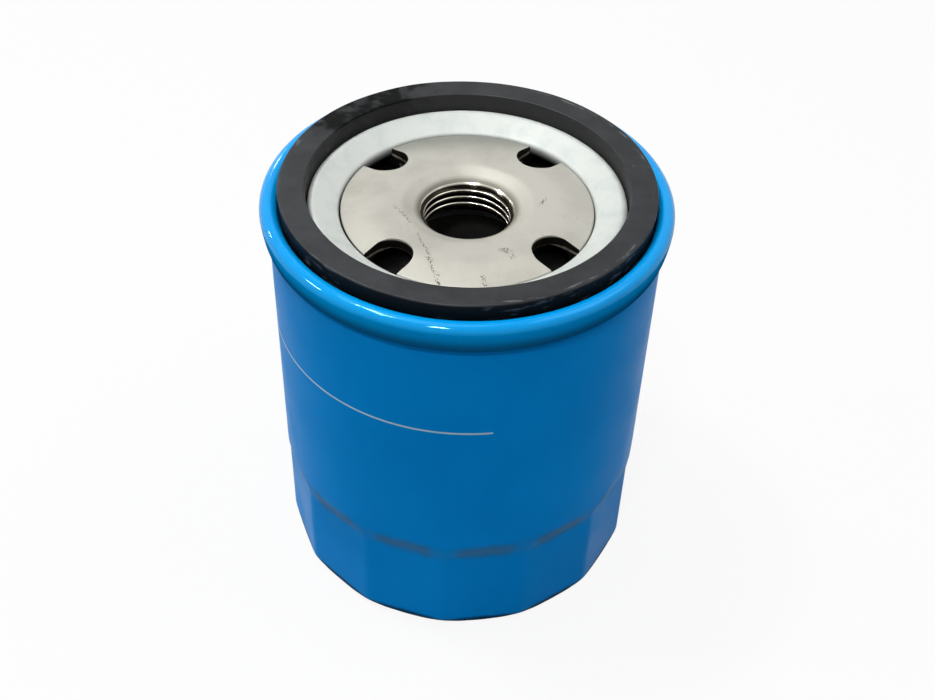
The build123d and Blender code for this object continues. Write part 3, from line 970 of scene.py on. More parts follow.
@dataclass(frozen=True)
class Rubber:
    """Black moulded rubber with a dusty bloom and a few scuffs, and painted shade and light on a ring's
    sides.

    Attributes:
        name: the material's name.
        colour: the rubber's colour.
        bloom: the colour of its dusty bloom.
        bloom_share: how much of it the bloom covers.
        scuff: the colour of its scuffs.
        scuff_share: how strong they are.
        roughness: how blurred its reflections are.
        oil_degrees: where oil is wiped over it, round the axis, if it is.
        oil_and_side_shade: the colour of oiled rubber, and of the painted shade on the ring's outer side.
        bore: the colour of the ring's inner side, paler than the rubber as painted light.
        wear_and_highlight: the colour of its rubbed edge, with its painted highlight.
        gloss: how much it reflects.
        face_height: the height of a ring's upper face, if it has one.
        side_radius: the ring's inner side lies inside this radius.
        edge_radius: the radius of its rubbed and highlighted edge.
    """

    name: str
    colour: tuple[float, float, float] = (29, 31, 34)
    bloom: tuple[float, float, float] = (49, 52, 56)
    bloom_share: float = 0.7
    scuff: tuple[float, float, float] = (120, 120, 122)
    scuff_share: float = 0.5
    roughness: float = 0.5
    oil_degrees: tuple[float, float] | None = None
    oil_and_side_shade: tuple[float, float, float] = (14, 15, 15)
    bore: tuple[float, float, float] = (62, 62, 63)
    wear_and_highlight: tuple[float, float, float] = (118, 121, 124)
    gloss: float = 0.3
    face_height: float | None = None
    side_radius: float = 33.5
    edge_radius: float = 35.1

    def material(self) -> bpy.types.Material:
        """Builds the material.

        Returns:
            The material.
        """
        mix = Recipe(self.name)
        cloud = mix.patches(size=8.0, detail=5.0, low=0.35, high=0.7, end=self.bloom_share, rough=0.6)
        colour = mix.blend(cloud, linear(*self.colour), linear(*self.bloom))
        gloss = self.gloss
        if self.face_height is not None:
            on_face = mix.span(mix.axis("Z"), self.face_height - 0.5, self.face_height - 0.15)
            # below the face the sides are painted: the outer side in painted shade, the inner side in painted
            # light
            within = mix.fade(mix.radius(), self.side_radius - 1, self.side_radius)
            side = mix.blend(within, linear(*self.oil_and_side_shade), linear(*self.bore))
            colour = mix.blend(on_face, side, colour)
            gloss = mix.span(on_face, 0.0, 1.0, 0.3 * self.gloss, self.gloss)
            # pale outer edge: partly rubbed wear, partly a painted highlight along the edge
            colour = mix.blend(self._rubbed_and_lit_edge(mix), colour, linear(*self.wear_and_highlight))
        if self.oil_degrees is not None:
            oiled = self._oiled(mix, *self.oil_degrees)
            if self.face_height is not None:
                oiled = mix.overlap(oiled, mix.span(on_face, 0.0, 1.0, 0.35, 1.0))
            colour = mix.blend(oiled, colour, linear(*self.oil_and_side_shade))
            gloss = mix.math("MULTIPLY", gloss, mix.span(oiled, 0.0, 1.0, 1.0, 0.15))
        scratch = mix.span(mix.noise(1.1, 4.0, place=mix.round_place(12.0)), 0.68, 0.76)
        where = mix.patches(size=11.0, detail=2.0, low=0.48, high=0.62, end=self.scuff_share)
        colour = mix.blend(mix.overlap(scratch, where), colour, linear(*self.scuff))
        mix.set(
            Base_Color=colour,
            Roughness=mix.between(6.0, 4.0, self.roughness - 0.08, self.roughness + 0.1),
            Specular_IOR_Level=gloss,
            Normal=mix.bump(mix.noise(0.5, 4.0), 0.006),
        )
        return mix.material

    def _rubbed_and_lit_edge(self, mix: Recipe) -> Socket:
        """Where the ring's outer edge is rubbed pale and carries a painted highlight, from 0 to 1.

        Args:
            mix: the recipe that it is part of.

        Returns:
            The mask.
        """
        off = mix.math("ABSOLUTE", mix.math("SUBTRACT", mix.radius(), self.edge_radius))
        on_edge = mix.fade(off, 0.15, 0.7)
        rubbed = mix.span(mix.noise(0.8, 4.0, place=mix.round_place(7.0)), 0.54, 0.68)
        where = mix.patches(size=14.0, detail=2.0, low=0.47, high=0.56, end=0.75)
        return mix.overlap(on_edge, rubbed, where)

    @staticmethod
    def _oiled(mix: Recipe, start_degrees: float, end_degrees: float) -> Socket:
        """Where oil has been wiped over the rubber, from 0 to 1.

        Args:
            mix: the recipe that it is part of.
            start_degrees: where the wiped stretch starts, round the axis.
            end_degrees: where it ends.

        Returns:
            The mask.
        """
        azimuth = mix.math("ADD", mix.azimuth(), mix.wander(5.0, 4.0, 40.0))
        begun = mix.span(azimuth, start_degrees - 8, start_degrees + 8)
        unfinished = mix.fade(azimuth, end_degrees - 8, end_degrees + 8)
        wiped = mix.patches(size=3.6, detail=3.0, low=0.36, high=0.56, start=0.4)
        return mix.overlap(begun, unfinished, wiped)


@dataclass(frozen=True)
class Bare:
    """Plain bare metal or set resin inside the filter, with cloud and fine grain."""

    name: str
    colour: tuple[float, float, float]
    metallic: float
    roughness: float
    grain: float = 0.4
    depth: float = 0.01

    def material(self) -> bpy.types.Material:
        """Builds the material.

        Returns:
            The material.
        """
        mix = Recipe(self.name)
        cloud = mix.patches(size=5.0, detail=4.0, low=0.35, high=0.7)
        darker = linear(*[0.82 * value for value in self.colour])
        mix.set(
            Base_Color=mix.blend(cloud, linear(*self.colour), darker),
            Metallic=self.metallic,
            Roughness=mix.between(3.0, 3.0, self.roughness - 0.06, self.roughness + 0.08),
            Normal=mix.bump(mix.noise(self.grain, 3.0), self.depth),
        )
        return mix.material


@dataclass(frozen=True)
class Paper:
    """Resin-filled filter paper with short fibres."""

    name: str
    colour: tuple[float, float, float] = (214, 186, 120)
    fibre: tuple[float, float, float] = (236, 214, 158)

    def material(self) -> bpy.types.Material:
        """Builds the material.

        Returns:
            The material.
        """
        mix = Recipe(self.name)
        fibres = mix.noise(0.3, 4.0, place=mix.stretched((1.0, 1.0, 0.3)), rough=0.7)
        mix.set(
            Base_Color=mix.blend(mix.span(fibres, 0.4, 0.7), linear(*self.colour), linear(*self.fibre)),
            Roughness=0.9,
            Normal=mix.bump(fibres, 0.05),
        )
        return mix.material


# ---------------------------------------------------------------------------- the can
@dataclass
class Can:
    """The deep-drawn cup, with its pressed flats and its half of the seam."""

    finish: Enamel
    wall_radius: float = 37.7
    sheet: float = 0.5
    base_corner: float = 3.0
    pad_radius: float = 13.0
    pad_height: float = 1.8
    pad_bend: float = 0.8
    flat_count: int = 14
    flats_depth: float = 1.1
    flats_top: float = 22.6
    flats_step: float = 3.4
    flats_phase: float = 9.1
    crease_width: float = 0.9
    run_out: float = 3.0
    blend_width: float = 0.12
    blend_reach: float = 8.0
    neck_height: float = 1.4
    neck_step: float = 0.6
    neck_bend: float = 0.6
    hook_fold: float = 0.85
    hook_end: float = 81.85
    facets_per_flat: int = 36
    row_height: float = 1.3

    def build(self) -> bpy.types.Object:
        """Builds the can and dresses it.

        Returns:
            The piece that stands for the can.
        """
        lid_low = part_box("seam_lid")[0].z / MM
        middle = self._middle_line(lid_low)
        outline = sheet_outline(middle, self.sheet)
        inset = np.repeat([0.0, self.sheet], len(middle))
        turning = Turning(
            name="can_shell",
            outline=outline,
            segments=self.flat_count * self.facets_per_flat,
            start_degrees=self.flats_phase,
            shape=lambda angles, radii, heights: self._pressed(angles, radii, heights, inset),
        )
        piece = turning.piece()
        piece.data.materials.append(self.finish.material())
        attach(piece, "housing")
        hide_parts("can")
        return piece

    def _middle_line(self, seam_foot: float) -> np.ndarray:
        """The sheet's middle line, from the axis out over the base, up the wall and over the hook.

        Args:
            seam_foot: the seam's lowest edge.

        Returns:
            The line's points.
        """
        half = self.sheet / 2
        wall = self.wall_radius - half
        neck = wall - self.neck_step
        hook = neck + 2 * self.hook_fold
        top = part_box("can")[1].z / MM - half
        path = bent_path([
            Bend(0.0, self.pad_height + half),
            Bend(self.pad_radius, self.pad_height + half, self.pad_bend),
            Bend(self.pad_radius + self.pad_height, half, self.pad_bend),
            Bend(wall, half, self.base_corner - half),
            Bend(wall, seam_foot - self.neck_height, self.neck_bend),
            Bend(neck, seam_foot, self.neck_bend),
            Bend(neck, top, self.hook_fold),
            Bend(hook, top, self.hook_fold),
            Bend(hook, self.hook_end),
        ])
        return subdivided(path, self.row_height)

    def _pressed(self, angles: np.ndarray, radii: np.ndarray, heights: np.ndarray,
                 inset: np.ndarray) -> tuple[np.ndarray, np.ndarray]:
        """Presses the flats into the wall.

        Args:
            angles: angle of each point round the axis, in radians.
            radii: its radius before pressing.
            heights: its height.
            inset: how far each column of points lies inside the outer face.

        Returns:
            The new radii and the heights.
        """
        pitch = math.tau / self.flat_count
        half_pitch = pitch / 2
        off_corner = np.mod(angles - math.radians(self.flats_phase), pitch)
        off_middle = np.abs(off_corner - half_pitch)
        crease = self.crease_width / self.wall_radius
        flat_end = half_pitch - crease
        into_crease = np.maximum(off_middle - flat_end, 0.0)
        flat_radius = 1 / np.cos(np.minimum(off_middle, flat_end))
        slope = math.tan(flat_end) / math.cos(flat_end)
        flat_radius = flat_radius + slope * (into_crease - into_crease ** 2 / (2 * crease))
        rise = np.clip((heights - self.flats_top) / self.flats_step, 0.0, None)
        eased = np.where(rise < 1, smooth(rise), 1 + self.run_out * (rise - 1))
        apothem = self.wall_radius - self.flats_depth * (1 - eased) - inset
        limit = apothem * flat_radius
        gap = (limit - radii) / self.blend_width
        pressed = radii - self.blend_width * np.logaddexp(0.0, -gap)
        return np.where(gap > self.blend_reach, radii, pressed), heights


# ---------------------------------------------------------------------------- the lid and its seam
@dataclass
class Lid:
    """The pressed lid: lip, panel, rib, gasket groove and the outer fold of the seam."""

    paint: Enamel
    zinc: ZincPlate
    sheet: float = 0.75
    lip_radius: float = 24.775
    lip_foot: float = 80.55
    panel_edge: float = 82.175
    rib_radius: float = 29.975
    rib_top: float = 84.73
    groove_floor: float = 82.025
    wall_radius: float = 36.175
    skirt_radius: float = 38.875
    hook_radius: float = 37.525
    hook_top: float = 83.785
    bend: float = 0.7
    paint_reach: float = 3.4
    ripple_size: float = 0.03
    taper: float = 0.5
    taper_top: float = 84.4
    taper_power: float = 1.5
    facets: int = 360
    row_height: float = 0.7
    arc_step: float = 7.0

    def build(self) -> bpy.types.Object:
        """Builds the lid and dresses it.

        Returns:
            The piece that stands for the lid.
        """
        low, high = (corner.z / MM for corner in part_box("seam_lid"))
        half = self.sheet / 2
        fold = (self.skirt_radius - self.wall_radius) / 2
        hook_fold = (self.skirt_radius - self.hook_radius) / 2
        path = bent_path([
            Bend(self.lip_radius, self.lip_foot),
            Bend(self.lip_radius, self.panel_edge, self.bend),
            Bend(self.rib_radius, self.rib_top, self.bend),
            Bend(self.rib_radius, self.groove_floor, self.bend),
            Bend(self.wall_radius, self.groove_floor, self.bend),
            Bend(self.wall_radius, high - half, fold),
            Bend(self.skirt_radius, high - half, fold),
            Bend(self.skirt_radius, low + half, hook_fold),
            Bend(self.hook_radius, low + half, hook_fold),
            Bend(self.hook_radius, self.hook_top),
        ], arc_step=self.arc_step)
        path = subdivided(path, self.row_height)
        outline = sheet_outline(path, self.sheet)
        outer = outline[:, 0] > self.wall_radius - self.sheet
        painted = outer & (outline[:, 1] > high - self.paint_reach)
        painted |= outline[:, 0] > self.hook_radius + half
        turning = Turning(
            name="lid_and_seam",
            outline=outline,
            segments=self.facets,
            shape=self._rolled,
            zones=painted.astype(int),
        )
        piece = turning.piece()
        piece.data.materials.append(self.zinc.material())
        piece.data.materials.append(self.paint.material())
        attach(piece, "housing")
        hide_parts("seam_lid")
        return piece

    def _rolled(self, angles: np.ndarray, radii: np.ndarray,
                heights: np.ndarray) -> tuple[np.ndarray, np.ndarray]:
        """Adds the slight unevenness that the seaming roller leaves.

        Args:
            angles: angle of each point round the axis, in radians.
            radii: its radius.
            heights: its height.

        Returns:
            The new radii and heights.
        """
        share = np.clip((radii - self.wall_radius) / (self.skirt_radius - self.wall_radius), 0, 1)
        wave = ripple(angles, self.ripple_size, lobes=(3, 7, 11, 17), seed=3)
        outer_face = np.clip((radii - self.skirt_radius + self.sheet / 2) / self.sheet, 0, 1)
        fallen = np.clip((self.taper_top - heights) / (self.taper_top - self.lip_foot), 0, 1)
        drawn_in = self.taper * outer_face * fallen ** self.taper_power
        return radii - share * (self.ripple_size + wave) - drawn_in, heights


# ---------------------------------------------------------------------------- the gasket
@dataclass
class Gasket:
    """The square-section sealing ring, a little uneven as moulded rubber is."""

    finish: Rubber
    edge: float = 0.28
    width: float = 4.9
    outer_ripple: float = 0.1
    bulge: float = 0.3
    bulge_degrees: float = 86.0
    bulge_spread: float = 0.45
    bulge_power: float = 0.5
    free_height: float = 1.9
    free_rise: float = 0.6
    inner_ripple: float = 0.06
    face_dip: float = 0.04
    facets: int = 320
    row_height: float = 0.5
    arc_step: float = 15.0

    def build(self) -> bpy.types.Object:
        """Builds the gasket and dresses it.

        Returns:
            The piece that stands for the gasket.
        """
        low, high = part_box("sealing_gasket")
        outer = high.x / MM
        floor, top = low.z / MM, high.z / MM
        inner = outer - self.width
        path = bent_path([
            Bend(inner, floor, self.edge),
            Bend(outer, floor, self.edge),
            Bend(outer, top, self.edge),
            Bend(inner, top, self.edge),
        ], closed=True, arc_step=self.arc_step)
        path = subdivided(np.vstack([path, path[:1]]), self.row_height)[:-1]
        middle = (inner + outer) / 2

        def settle(angles: np.ndarray, radii: np.ndarray,
                   heights: np.ndarray) -> tuple[np.ndarray, np.ndarray]:
            """Waves the ring's sides and dips its face.

            Args:
                angles: angle of each point round the axis, in radians.
                radii: its radius.
                heights: its height.

            Returns:
                The new radii and heights.
            """
            outward = np.clip((radii - middle) / (outer - middle), 0, 1)
            inward = np.clip((middle - radii) / (middle - inner), 0, 1)
            up = (heights - floor) / (top - floor)
            out_wave = ripple(angles, self.outer_ripple, lobes=(3, 5, 9, 14), seed=11)
            back = np.cos(angles - math.radians(self.bulge_degrees))
            free = np.clip((heights - (top - self.free_height)) / self.free_rise, 0, 1)
            bulged = np.clip(back + self.bulge_spread, 0, 1) ** self.bulge_power
            out_wave = out_wave + self.bulge * free * bulged
            in_wave = ripple(angles, self.inner_ripple, lobes=(2, 4, 7), seed=5)
            dip = ripple(angles, self.face_dip / 2, lobes=(2, 5, 8), seed=8) + self.face_dip / 2
            return radii + outward * out_wave + inward * in_wave, heights - up * dip

        piece = Turning(name="gasket_ring", outline=path, segments=self.facets, shape=settle).piece()
        piece.data.materials.append(self.finish.material())
        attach(piece, "housing")
        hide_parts("sealing_gasket")
        return piece


# ---------------------------------------------------------------------------- the tapping plate
class PlateZone(Enum):
    """Faces of the tapping plate, by material number."""

    STEEL = 0
    THREAD = 1
    PORT = 2


@dataclass
class TappingPlate:
    """The thick plate: flange, raised pad, inlet ports and the threaded collar."""

    steel: OiledSteel
    cut: CutSteel
    sheared: ShearedSteel
    flange_top: float = 80.55
    sheet: float = 2.2
    pad_radius: float = 24.2
    pad_edge: float = 82.3
    crown_radius: float = 18.2
    crown: float = 83.4
    shoulder_radius: float = 12.4
    shoulder: float = 83.25
    entry_radius: float = 9.6
    entry: float = 81.9
    chamfer_height: float = 0.5
    thread_radius: float = 8.19
    thread_depth: float = 0.8
    thread_pitch: float = 1.5
    crest_share: float = 0.14
    flank_share: float = 0.76
    relief_height: float = 0.95
    relief_rise: float = 0.2
    collar_radius: float = 10.5
    edge_bend: float = 0.4
    crown_bend: float = 12.0
    shoulder_bend: float = 3.2
    thread_rows: float = 0.03
    port_count: int = 4
    port_phase: float = 50.0
    port_width: float = 8.2
    port_centre: float = 21.0
    port_edge: float = 0.14
    port_edge_facets: int = 2
    port_edge_degrees: float = 50.0
    port_end_facets: int = 24
    facets: int = 288
    first_facet: float = 0.45
    row_height: float = 1.0
    arc_step: float = 4.0

    def build(self) -> bpy.types.Object:
        """Builds the plate and dresses it.

        Returns:
            The piece that stands for the plate.
        """
        low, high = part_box("tapping_plate")
        flange, foot = high.x / MM, low.z / MM
        inner = self.pad_radius - self.sheet
        bore = subdivided(np.array([
            [self.thread_radius, foot],
            [self.thread_radius, self.entry - (self.entry_radius - self.thread_radius)],
            [self.entry_radius, self.entry],
        ]), self.thread_rows)
        body = bent_path([
            Bend(self.entry_radius, self.entry),
            Bend(self.shoulder_radius, self.shoulder, self.shoulder_bend),
            Bend(self.crown_radius, self.crown, self.crown_bend),
            Bend(self.pad_radius, self.pad_edge, self.edge_bend),
            Bend(self.pad_radius, self.flange_top),
            Bend(flange, self.flange_top),
            Bend(flange, self.flange_top - self.sheet),
            Bend(inner, self.flange_top - self.sheet),
            Bend(inner, self.pad_edge - self.sheet, self.edge_bend),
            Bend(self.crown_radius, self.crown - self.sheet),
            Bend(self.collar_radius, self.shoulder - self.sheet),
            Bend(self.collar_radius, foot),
        ], arc_step=self.arc_step)
        body = subdivided(body, self.row_height)
        outline = np.vstack([bore, body[1:]])[::-1]
        is_bore = np.arange(len(outline)) >= len(outline) - len(bore)
        is_thread = is_bore & (outline[:, 1] < self.entry - self.chamfer_height)

        def threaded(angles: np.ndarray, radii: np.ndarray,
                     heights: np.ndarray) -> tuple[np.ndarray, np.ndarray]:
            """Cuts the right-handed thread into the bore, and the relief that it runs out to.

            Args:
                angles: angle of each point round the axis, in radians.
                radii: its radius.
                heights: its height.

            Returns:
                The new radii and the heights.
            """
            turns = (heights - foot) / self.thread_pitch - angles / (math.tau)
            saw = 1 - np.abs(2 * np.mod(turns, 1.0) - 1)
            groove = smooth(np.clip((saw - self.crest_share) / self.flank_share, 0, 1))
            in_relief = np.clip((foot + self.relief_height - heights) / self.relief_rise, 0, 1)
            thread = self.thread_radius + self.thread_depth * np.maximum(groove, in_relief)
            return np.where(is_bore, np.maximum(radii, thread), radii), heights

        turning = Turning(
            name="tapping_plate_threaded",
            outline=outline,
            segments=self.facets,
            start_degrees=self.first_facet,
            shape=threaded,
            zones=np.where(is_thread, PlateZone.THREAD.value, PlateZone.STEEL.value),
        )
        piece = turning.piece()
        finishes = {PlateZone.STEEL: self.steel, PlateZone.THREAD: self.cut, PlateZone.PORT: self.sheared}
        for zone in PlateZone:
            piece.data.materials.append(finishes[zone].material())
        self._pierce(piece)
        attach(piece, "housing")
        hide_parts("tapping_plate")
        return piece

    def _pierce(self, piece: bpy.types.Object) -> None:
        """Punches the inlet ports and breaks their edges.

        Args:
            piece: the plate.
        """
        half = self.port_width / 2
        inner_end = np.linspace(math.pi / 2, 3 * math.pi / 2, self.port_end_facets + 1)
        slot = [(self.port_centre + half * math.cos(a), half * math.sin(a)) for a in inner_end]
        outer = self.pad_radius + self.sheet + self.edge_bend
        slot += [(outer, -half), (outer, half)]
        points, faces = [], []
        for port in range(self.port_count):
            turn = Matrix.Rotation(math.radians(self.port_phase + 360 / self.port_count * port), 3, "Z")
            first, count = len(points), len(slot)
            for height in (self.flange_top - 2 * self.sheet, self.crown + self.sheet):
                points += [turn @ Vector((x, y, height)) * MM for x, y in slot]
            faces.append([first + i for i in reversed(range(count))])
            faces.append([first + count + i for i in range(count)])
            for i in range(count):
                after = (i + 1) % count
                faces.append([first + i, first + after, first + count + after, first + count + i])
        mesh = bpy.data.meshes.new("port_punch")
        mesh.from_pydata(points, [], faces)
        mesh.polygons.foreach_set("material_index", [PlateZone.PORT.value] * len(faces))
        punch = bpy.data.objects.new("port_punch", mesh)
        bpy.context.scene.collection.objects.link(punch)
        cut = piece.modifiers.new("ports", "BOOLEAN")
        cut.operation = "DIFFERENCE"
        cut.solver = "MANIFOLD"
        cut.object = punch
        edge = piece.modifiers.new("broken edges", "BEVEL")
        edge.width = self.port_edge * MM
        edge.segments = self.port_edge_facets
        edge.limit_method = "ANGLE"
        edge.angle_limit = math.radians(self.port_edge_degrees)
        edge.harden_normals = False
        applied(piece)
        bpy.data.objects.remove(punch)
        bpy.data.meshes.remove(mesh)


# ---------------------------------------------------------------------------- the rubber valve
@dataclass
class DrainbackValve:
    """The rubber that closes the inlet ports from inside: sleeve, hub, skirt and lip."""

    finish: Rubber
    sleeve_bore: float = 10.55
    sleeve_radius: float = 11.8
    hub_radius: float = 14.6
    hub_top: float = 80.75
    hub_foot: float = 75.6
    skirt_flat_radius: float = 16.6
    skirt_flat: float = 77.45
    skirt_sheet: float = 1.0
    skirt_fall: float = 2.0
    lip_width: float = 1.2
    edge: float = 0.2
    skirt_bend: float = 3.0
    hub_bend: float = 0.6
    facets: int = 192
    row_height: float = 1.0
    arc_step: float = 15.0

    def build(self) -> bpy.types.Object:
        """Builds the valve and dresses it.

        Returns:
            The piece that stands for the valve.
        """
        low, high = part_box("anti_drainback_valve")
        foot, outer = low.z / MM, high.x / MM
        lip_top = self.skirt_flat + self.lip_width / 2
        under = self.skirt_flat - self.skirt_sheet
        path = bent_path([
            Bend(self.sleeve_bore, foot, self.edge),
            Bend(self.sleeve_radius, foot, self.edge),
            Bend(self.sleeve_radius, self.hub_foot, self.edge),
            Bend(self.hub_radius, self.hub_foot, self.hub_bend),
            Bend(self.hub_radius, under + self.skirt_fall, self.hub_bend),
            Bend(self.skirt_flat_radius, under, self.edge),
            Bend(outer, under, self.edge),
            Bend(outer, lip_top, self.edge),
            Bend(outer - self.lip_width, lip_top, self.edge),
            Bend(outer - self.lip_width, self.skirt_flat, self.edge),
            Bend(self.skirt_flat_radius, self.skirt_flat, self.skirt_bend),
            Bend(self.hub_radius, self.skirt_flat + self.skirt_fall, self.hub_bend),
            Bend(self.hub_radius, self.hub_top, self.edge),
            Bend(self.sleeve_bore, self.hub_top, self.edge),
        ], closed=True, arc_step=self.arc_step)
        path = subdivided(np.vstack([path, path[:1]]), self.row_height)[:-1]
        piece = Turning(name="drainback_rubber", outline=path, segments=self.facets).piece()
        piece.data.materials.append(self.finish.material())
        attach(piece, "housing")
        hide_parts("anti_drainback_valve")
        return piece


# ---------------------------------------------------------------------------- the springs
@dataclass(frozen=True)
class Spring:
    """A coil spring with closed ends ground flat.

    Attributes:
        node: the CAD node that it stands for.
        body: the body that holds its fixed end.
        joint: the joint that would shorten it; not used.
        travel: how much shorter it would be at the joint's limit; not used.
        is_held_above: whether its upper end is the fixed one; not used.
        wire: the wire's diameter.
        turns: turns from end to end.
        finish: the wire's finish.
        closed_turns: how much of a turn lies closed at each end.
        opening_turns: how much of a turn the coil takes to open.
        closed_pitch: pitch of the closed turns, in wire diameters.
        facets_per_turn: steps along one turn.
        wire_facets: facets round the wire.
    """

    node: str
    body: str
    joint: str
    travel: float
    is_held_above: bool
    wire: float
    turns: int
    finish: Bare
    closed_turns: float = 0.7
    opening_turns: float = 0.6
    closed_pitch: float = 1.03
    facets_per_turn: int = 72
    wire_facets: int = 20

    def build(self) -> bpy.types.Object:
        """Winds the spring and dresses it.

        Returns:
            The piece that stands for the spring.
        """
        low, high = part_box(self.node)
        foot, head = low.z / MM, high.z / MM
        centres, outward, upward = self._coil(high.x / MM - self.wire / 2, foot, head)
        round_wire = np.arange(self.wire_facets) * math.tau / self.wire_facets
        swing = np.stack([np.cos(round_wire), np.sin(round_wire)]) * self.wire / 2
        rings = centres[:, None] + swing[0][:, None] * outward[:, None] + swing[1][:, None] * upward[:, None]
        rings[..., 2] = np.clip(rings[..., 2], foot, head)
        numbers = np.arange(len(centres) * self.wire_facets).reshape(len(centres), -1)
        ahead, beside = numbers[1:], np.roll(numbers, -1, axis=1)
        quads = np.stack([numbers[:-1], ahead, beside[1:], beside[:-1]], axis=-1).reshape(-1, 4)
        faces = quads.tolist() + [numbers[0].tolist(), numbers[-1][::-1].tolist()]
        mesh = bpy.data.meshes.new(f"{self.node}_coil")
        mesh.from_pydata((rings.reshape(-1, 3) * MM).tolist(), [], faces)
        piece = as_piece(mesh.name, mesh)
        piece.data.materials.append(self.finish.material())
        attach(piece, self.body)
        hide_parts(self.node)
        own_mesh(piece)
        return piece

    def _coil(self, radius: float, foot: float, head: float) -> tuple[np.ndarray, np.ndarray, np.ndarray]:
        """Lays out the wire's middle line.

        Args:
            radius: the coil's mean radius.
            foot: height of its lower end.
            head: height of its upper end.

        Returns:
            The line's points, and at each one the headings away from the axis and up the wire's section.
        """
        stations = np.linspace(0.0, self.turns, self.turns * self.facets_per_turn + 1)
        from_end = np.minimum(stations, self.turns - stations)
        opened = smooth(np.clip((from_end - self.closed_turns) / self.opening_turns, 0, 1))
        climb = np.concatenate([[0.0], np.cumsum(opened[1:] + opened[:-1])])
        least = self.closed_pitch * self.wire
        spare = head - foot - self.wire / 2 - least * self.turns
        heights = foot + self.wire / 4 + least * stations + spare * climb / climb[-1]
        angles = math.tau * stations
        outward = np.stack([np.cos(angles), np.sin(angles), np.zeros_like(angles)], axis=1)
        centres = radius * outward + heights[:, None] * np.array([0.0, 0.0, 1.0])
        forward = np.gradient(centres, axis=0)
        upward = np.cross(outward, forward)
        upward /= np.linalg.norm(upward, axis=1)[:, None]
        return centres, outward, upward


# ---------------------------------------------------------------------------- inside the can
@dataclass(frozen=True)
class InnerPieces:
    """Pieces inside the can, which keep their CAD shape and get their finish here."""

    finishes: dict[str, Bare | Paper | Rubber]

    def dress(self) -> None:
        """Gives each named node its finish."""
        for node, finish in self.finishes.items():
            material = finish.material()
            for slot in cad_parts[node].material_slots:
                slot.material = material
            log.info("dressed %s", node)


# ---------------------------------------------------------------------------- studio and camera
class Side(Enum):
    """Where a lamp stands, as azimuth and elevation in degrees from the filter."""

    OVERHEAD = (150.0, 76.0)
    STEEP_LEFT = (162.0, 68.0)
    FRONT_TOP = (-105.0, 61.0)
    RIGHT_TOP = (8.0, 60.0)
    LEFT = (178.0, 38.0)
    BACK_LEFT = (147.0, 27.0)
    BACK = (110.0, 31.0)
    GLINT_FRONT = (-106.0, 59.2)
    GLINT_STEEP = (-167.0, 67.9)
    GLINT_LEFT = (-176.4, 37.6)


@dataclass(frozen=True)
class Lamp:
    """A square softbox aimed at the filter.

    Attributes:
        side: where it stands.
        distance: how far away, in metres.
        width: its edge, in metres.
        power: its power, in watts.
        is_glint: whether it only shows in gloss, as a small bare lamp among softboxes.
    """

    side: Side
    distance: float
    width: float
    power: float
    is_glint: bool = False

    def place(self, aim: Vector) -> bpy.types.Object:
        """Puts the lamp in the scene.

        Args:
            aim: the point it is aimed at.

        Returns:
            The lamp.
        """
        azimuth, elevation = (math.radians(angle) for angle in self.side.value)
        level = math.cos(elevation)
        away = Vector((level * math.cos(azimuth), level * math.sin(azimuth), math.sin(elevation)))
        data = bpy.data.lights.new(f"softbox_{self.side.name.lower()}", "AREA")
        data.size = self.width
        data.energy = self.power
        lamp = bpy.data.objects.new(data.name, data)
        lamp.location = aim + away * self.distance
        lamp.rotation_euler = away.to_track_quat("Z", "Y").to_euler()
        lamp.visible_diffuse = not self.is_glint
        bpy.context.scene.collection.objects.link(lamp)
        return lamp


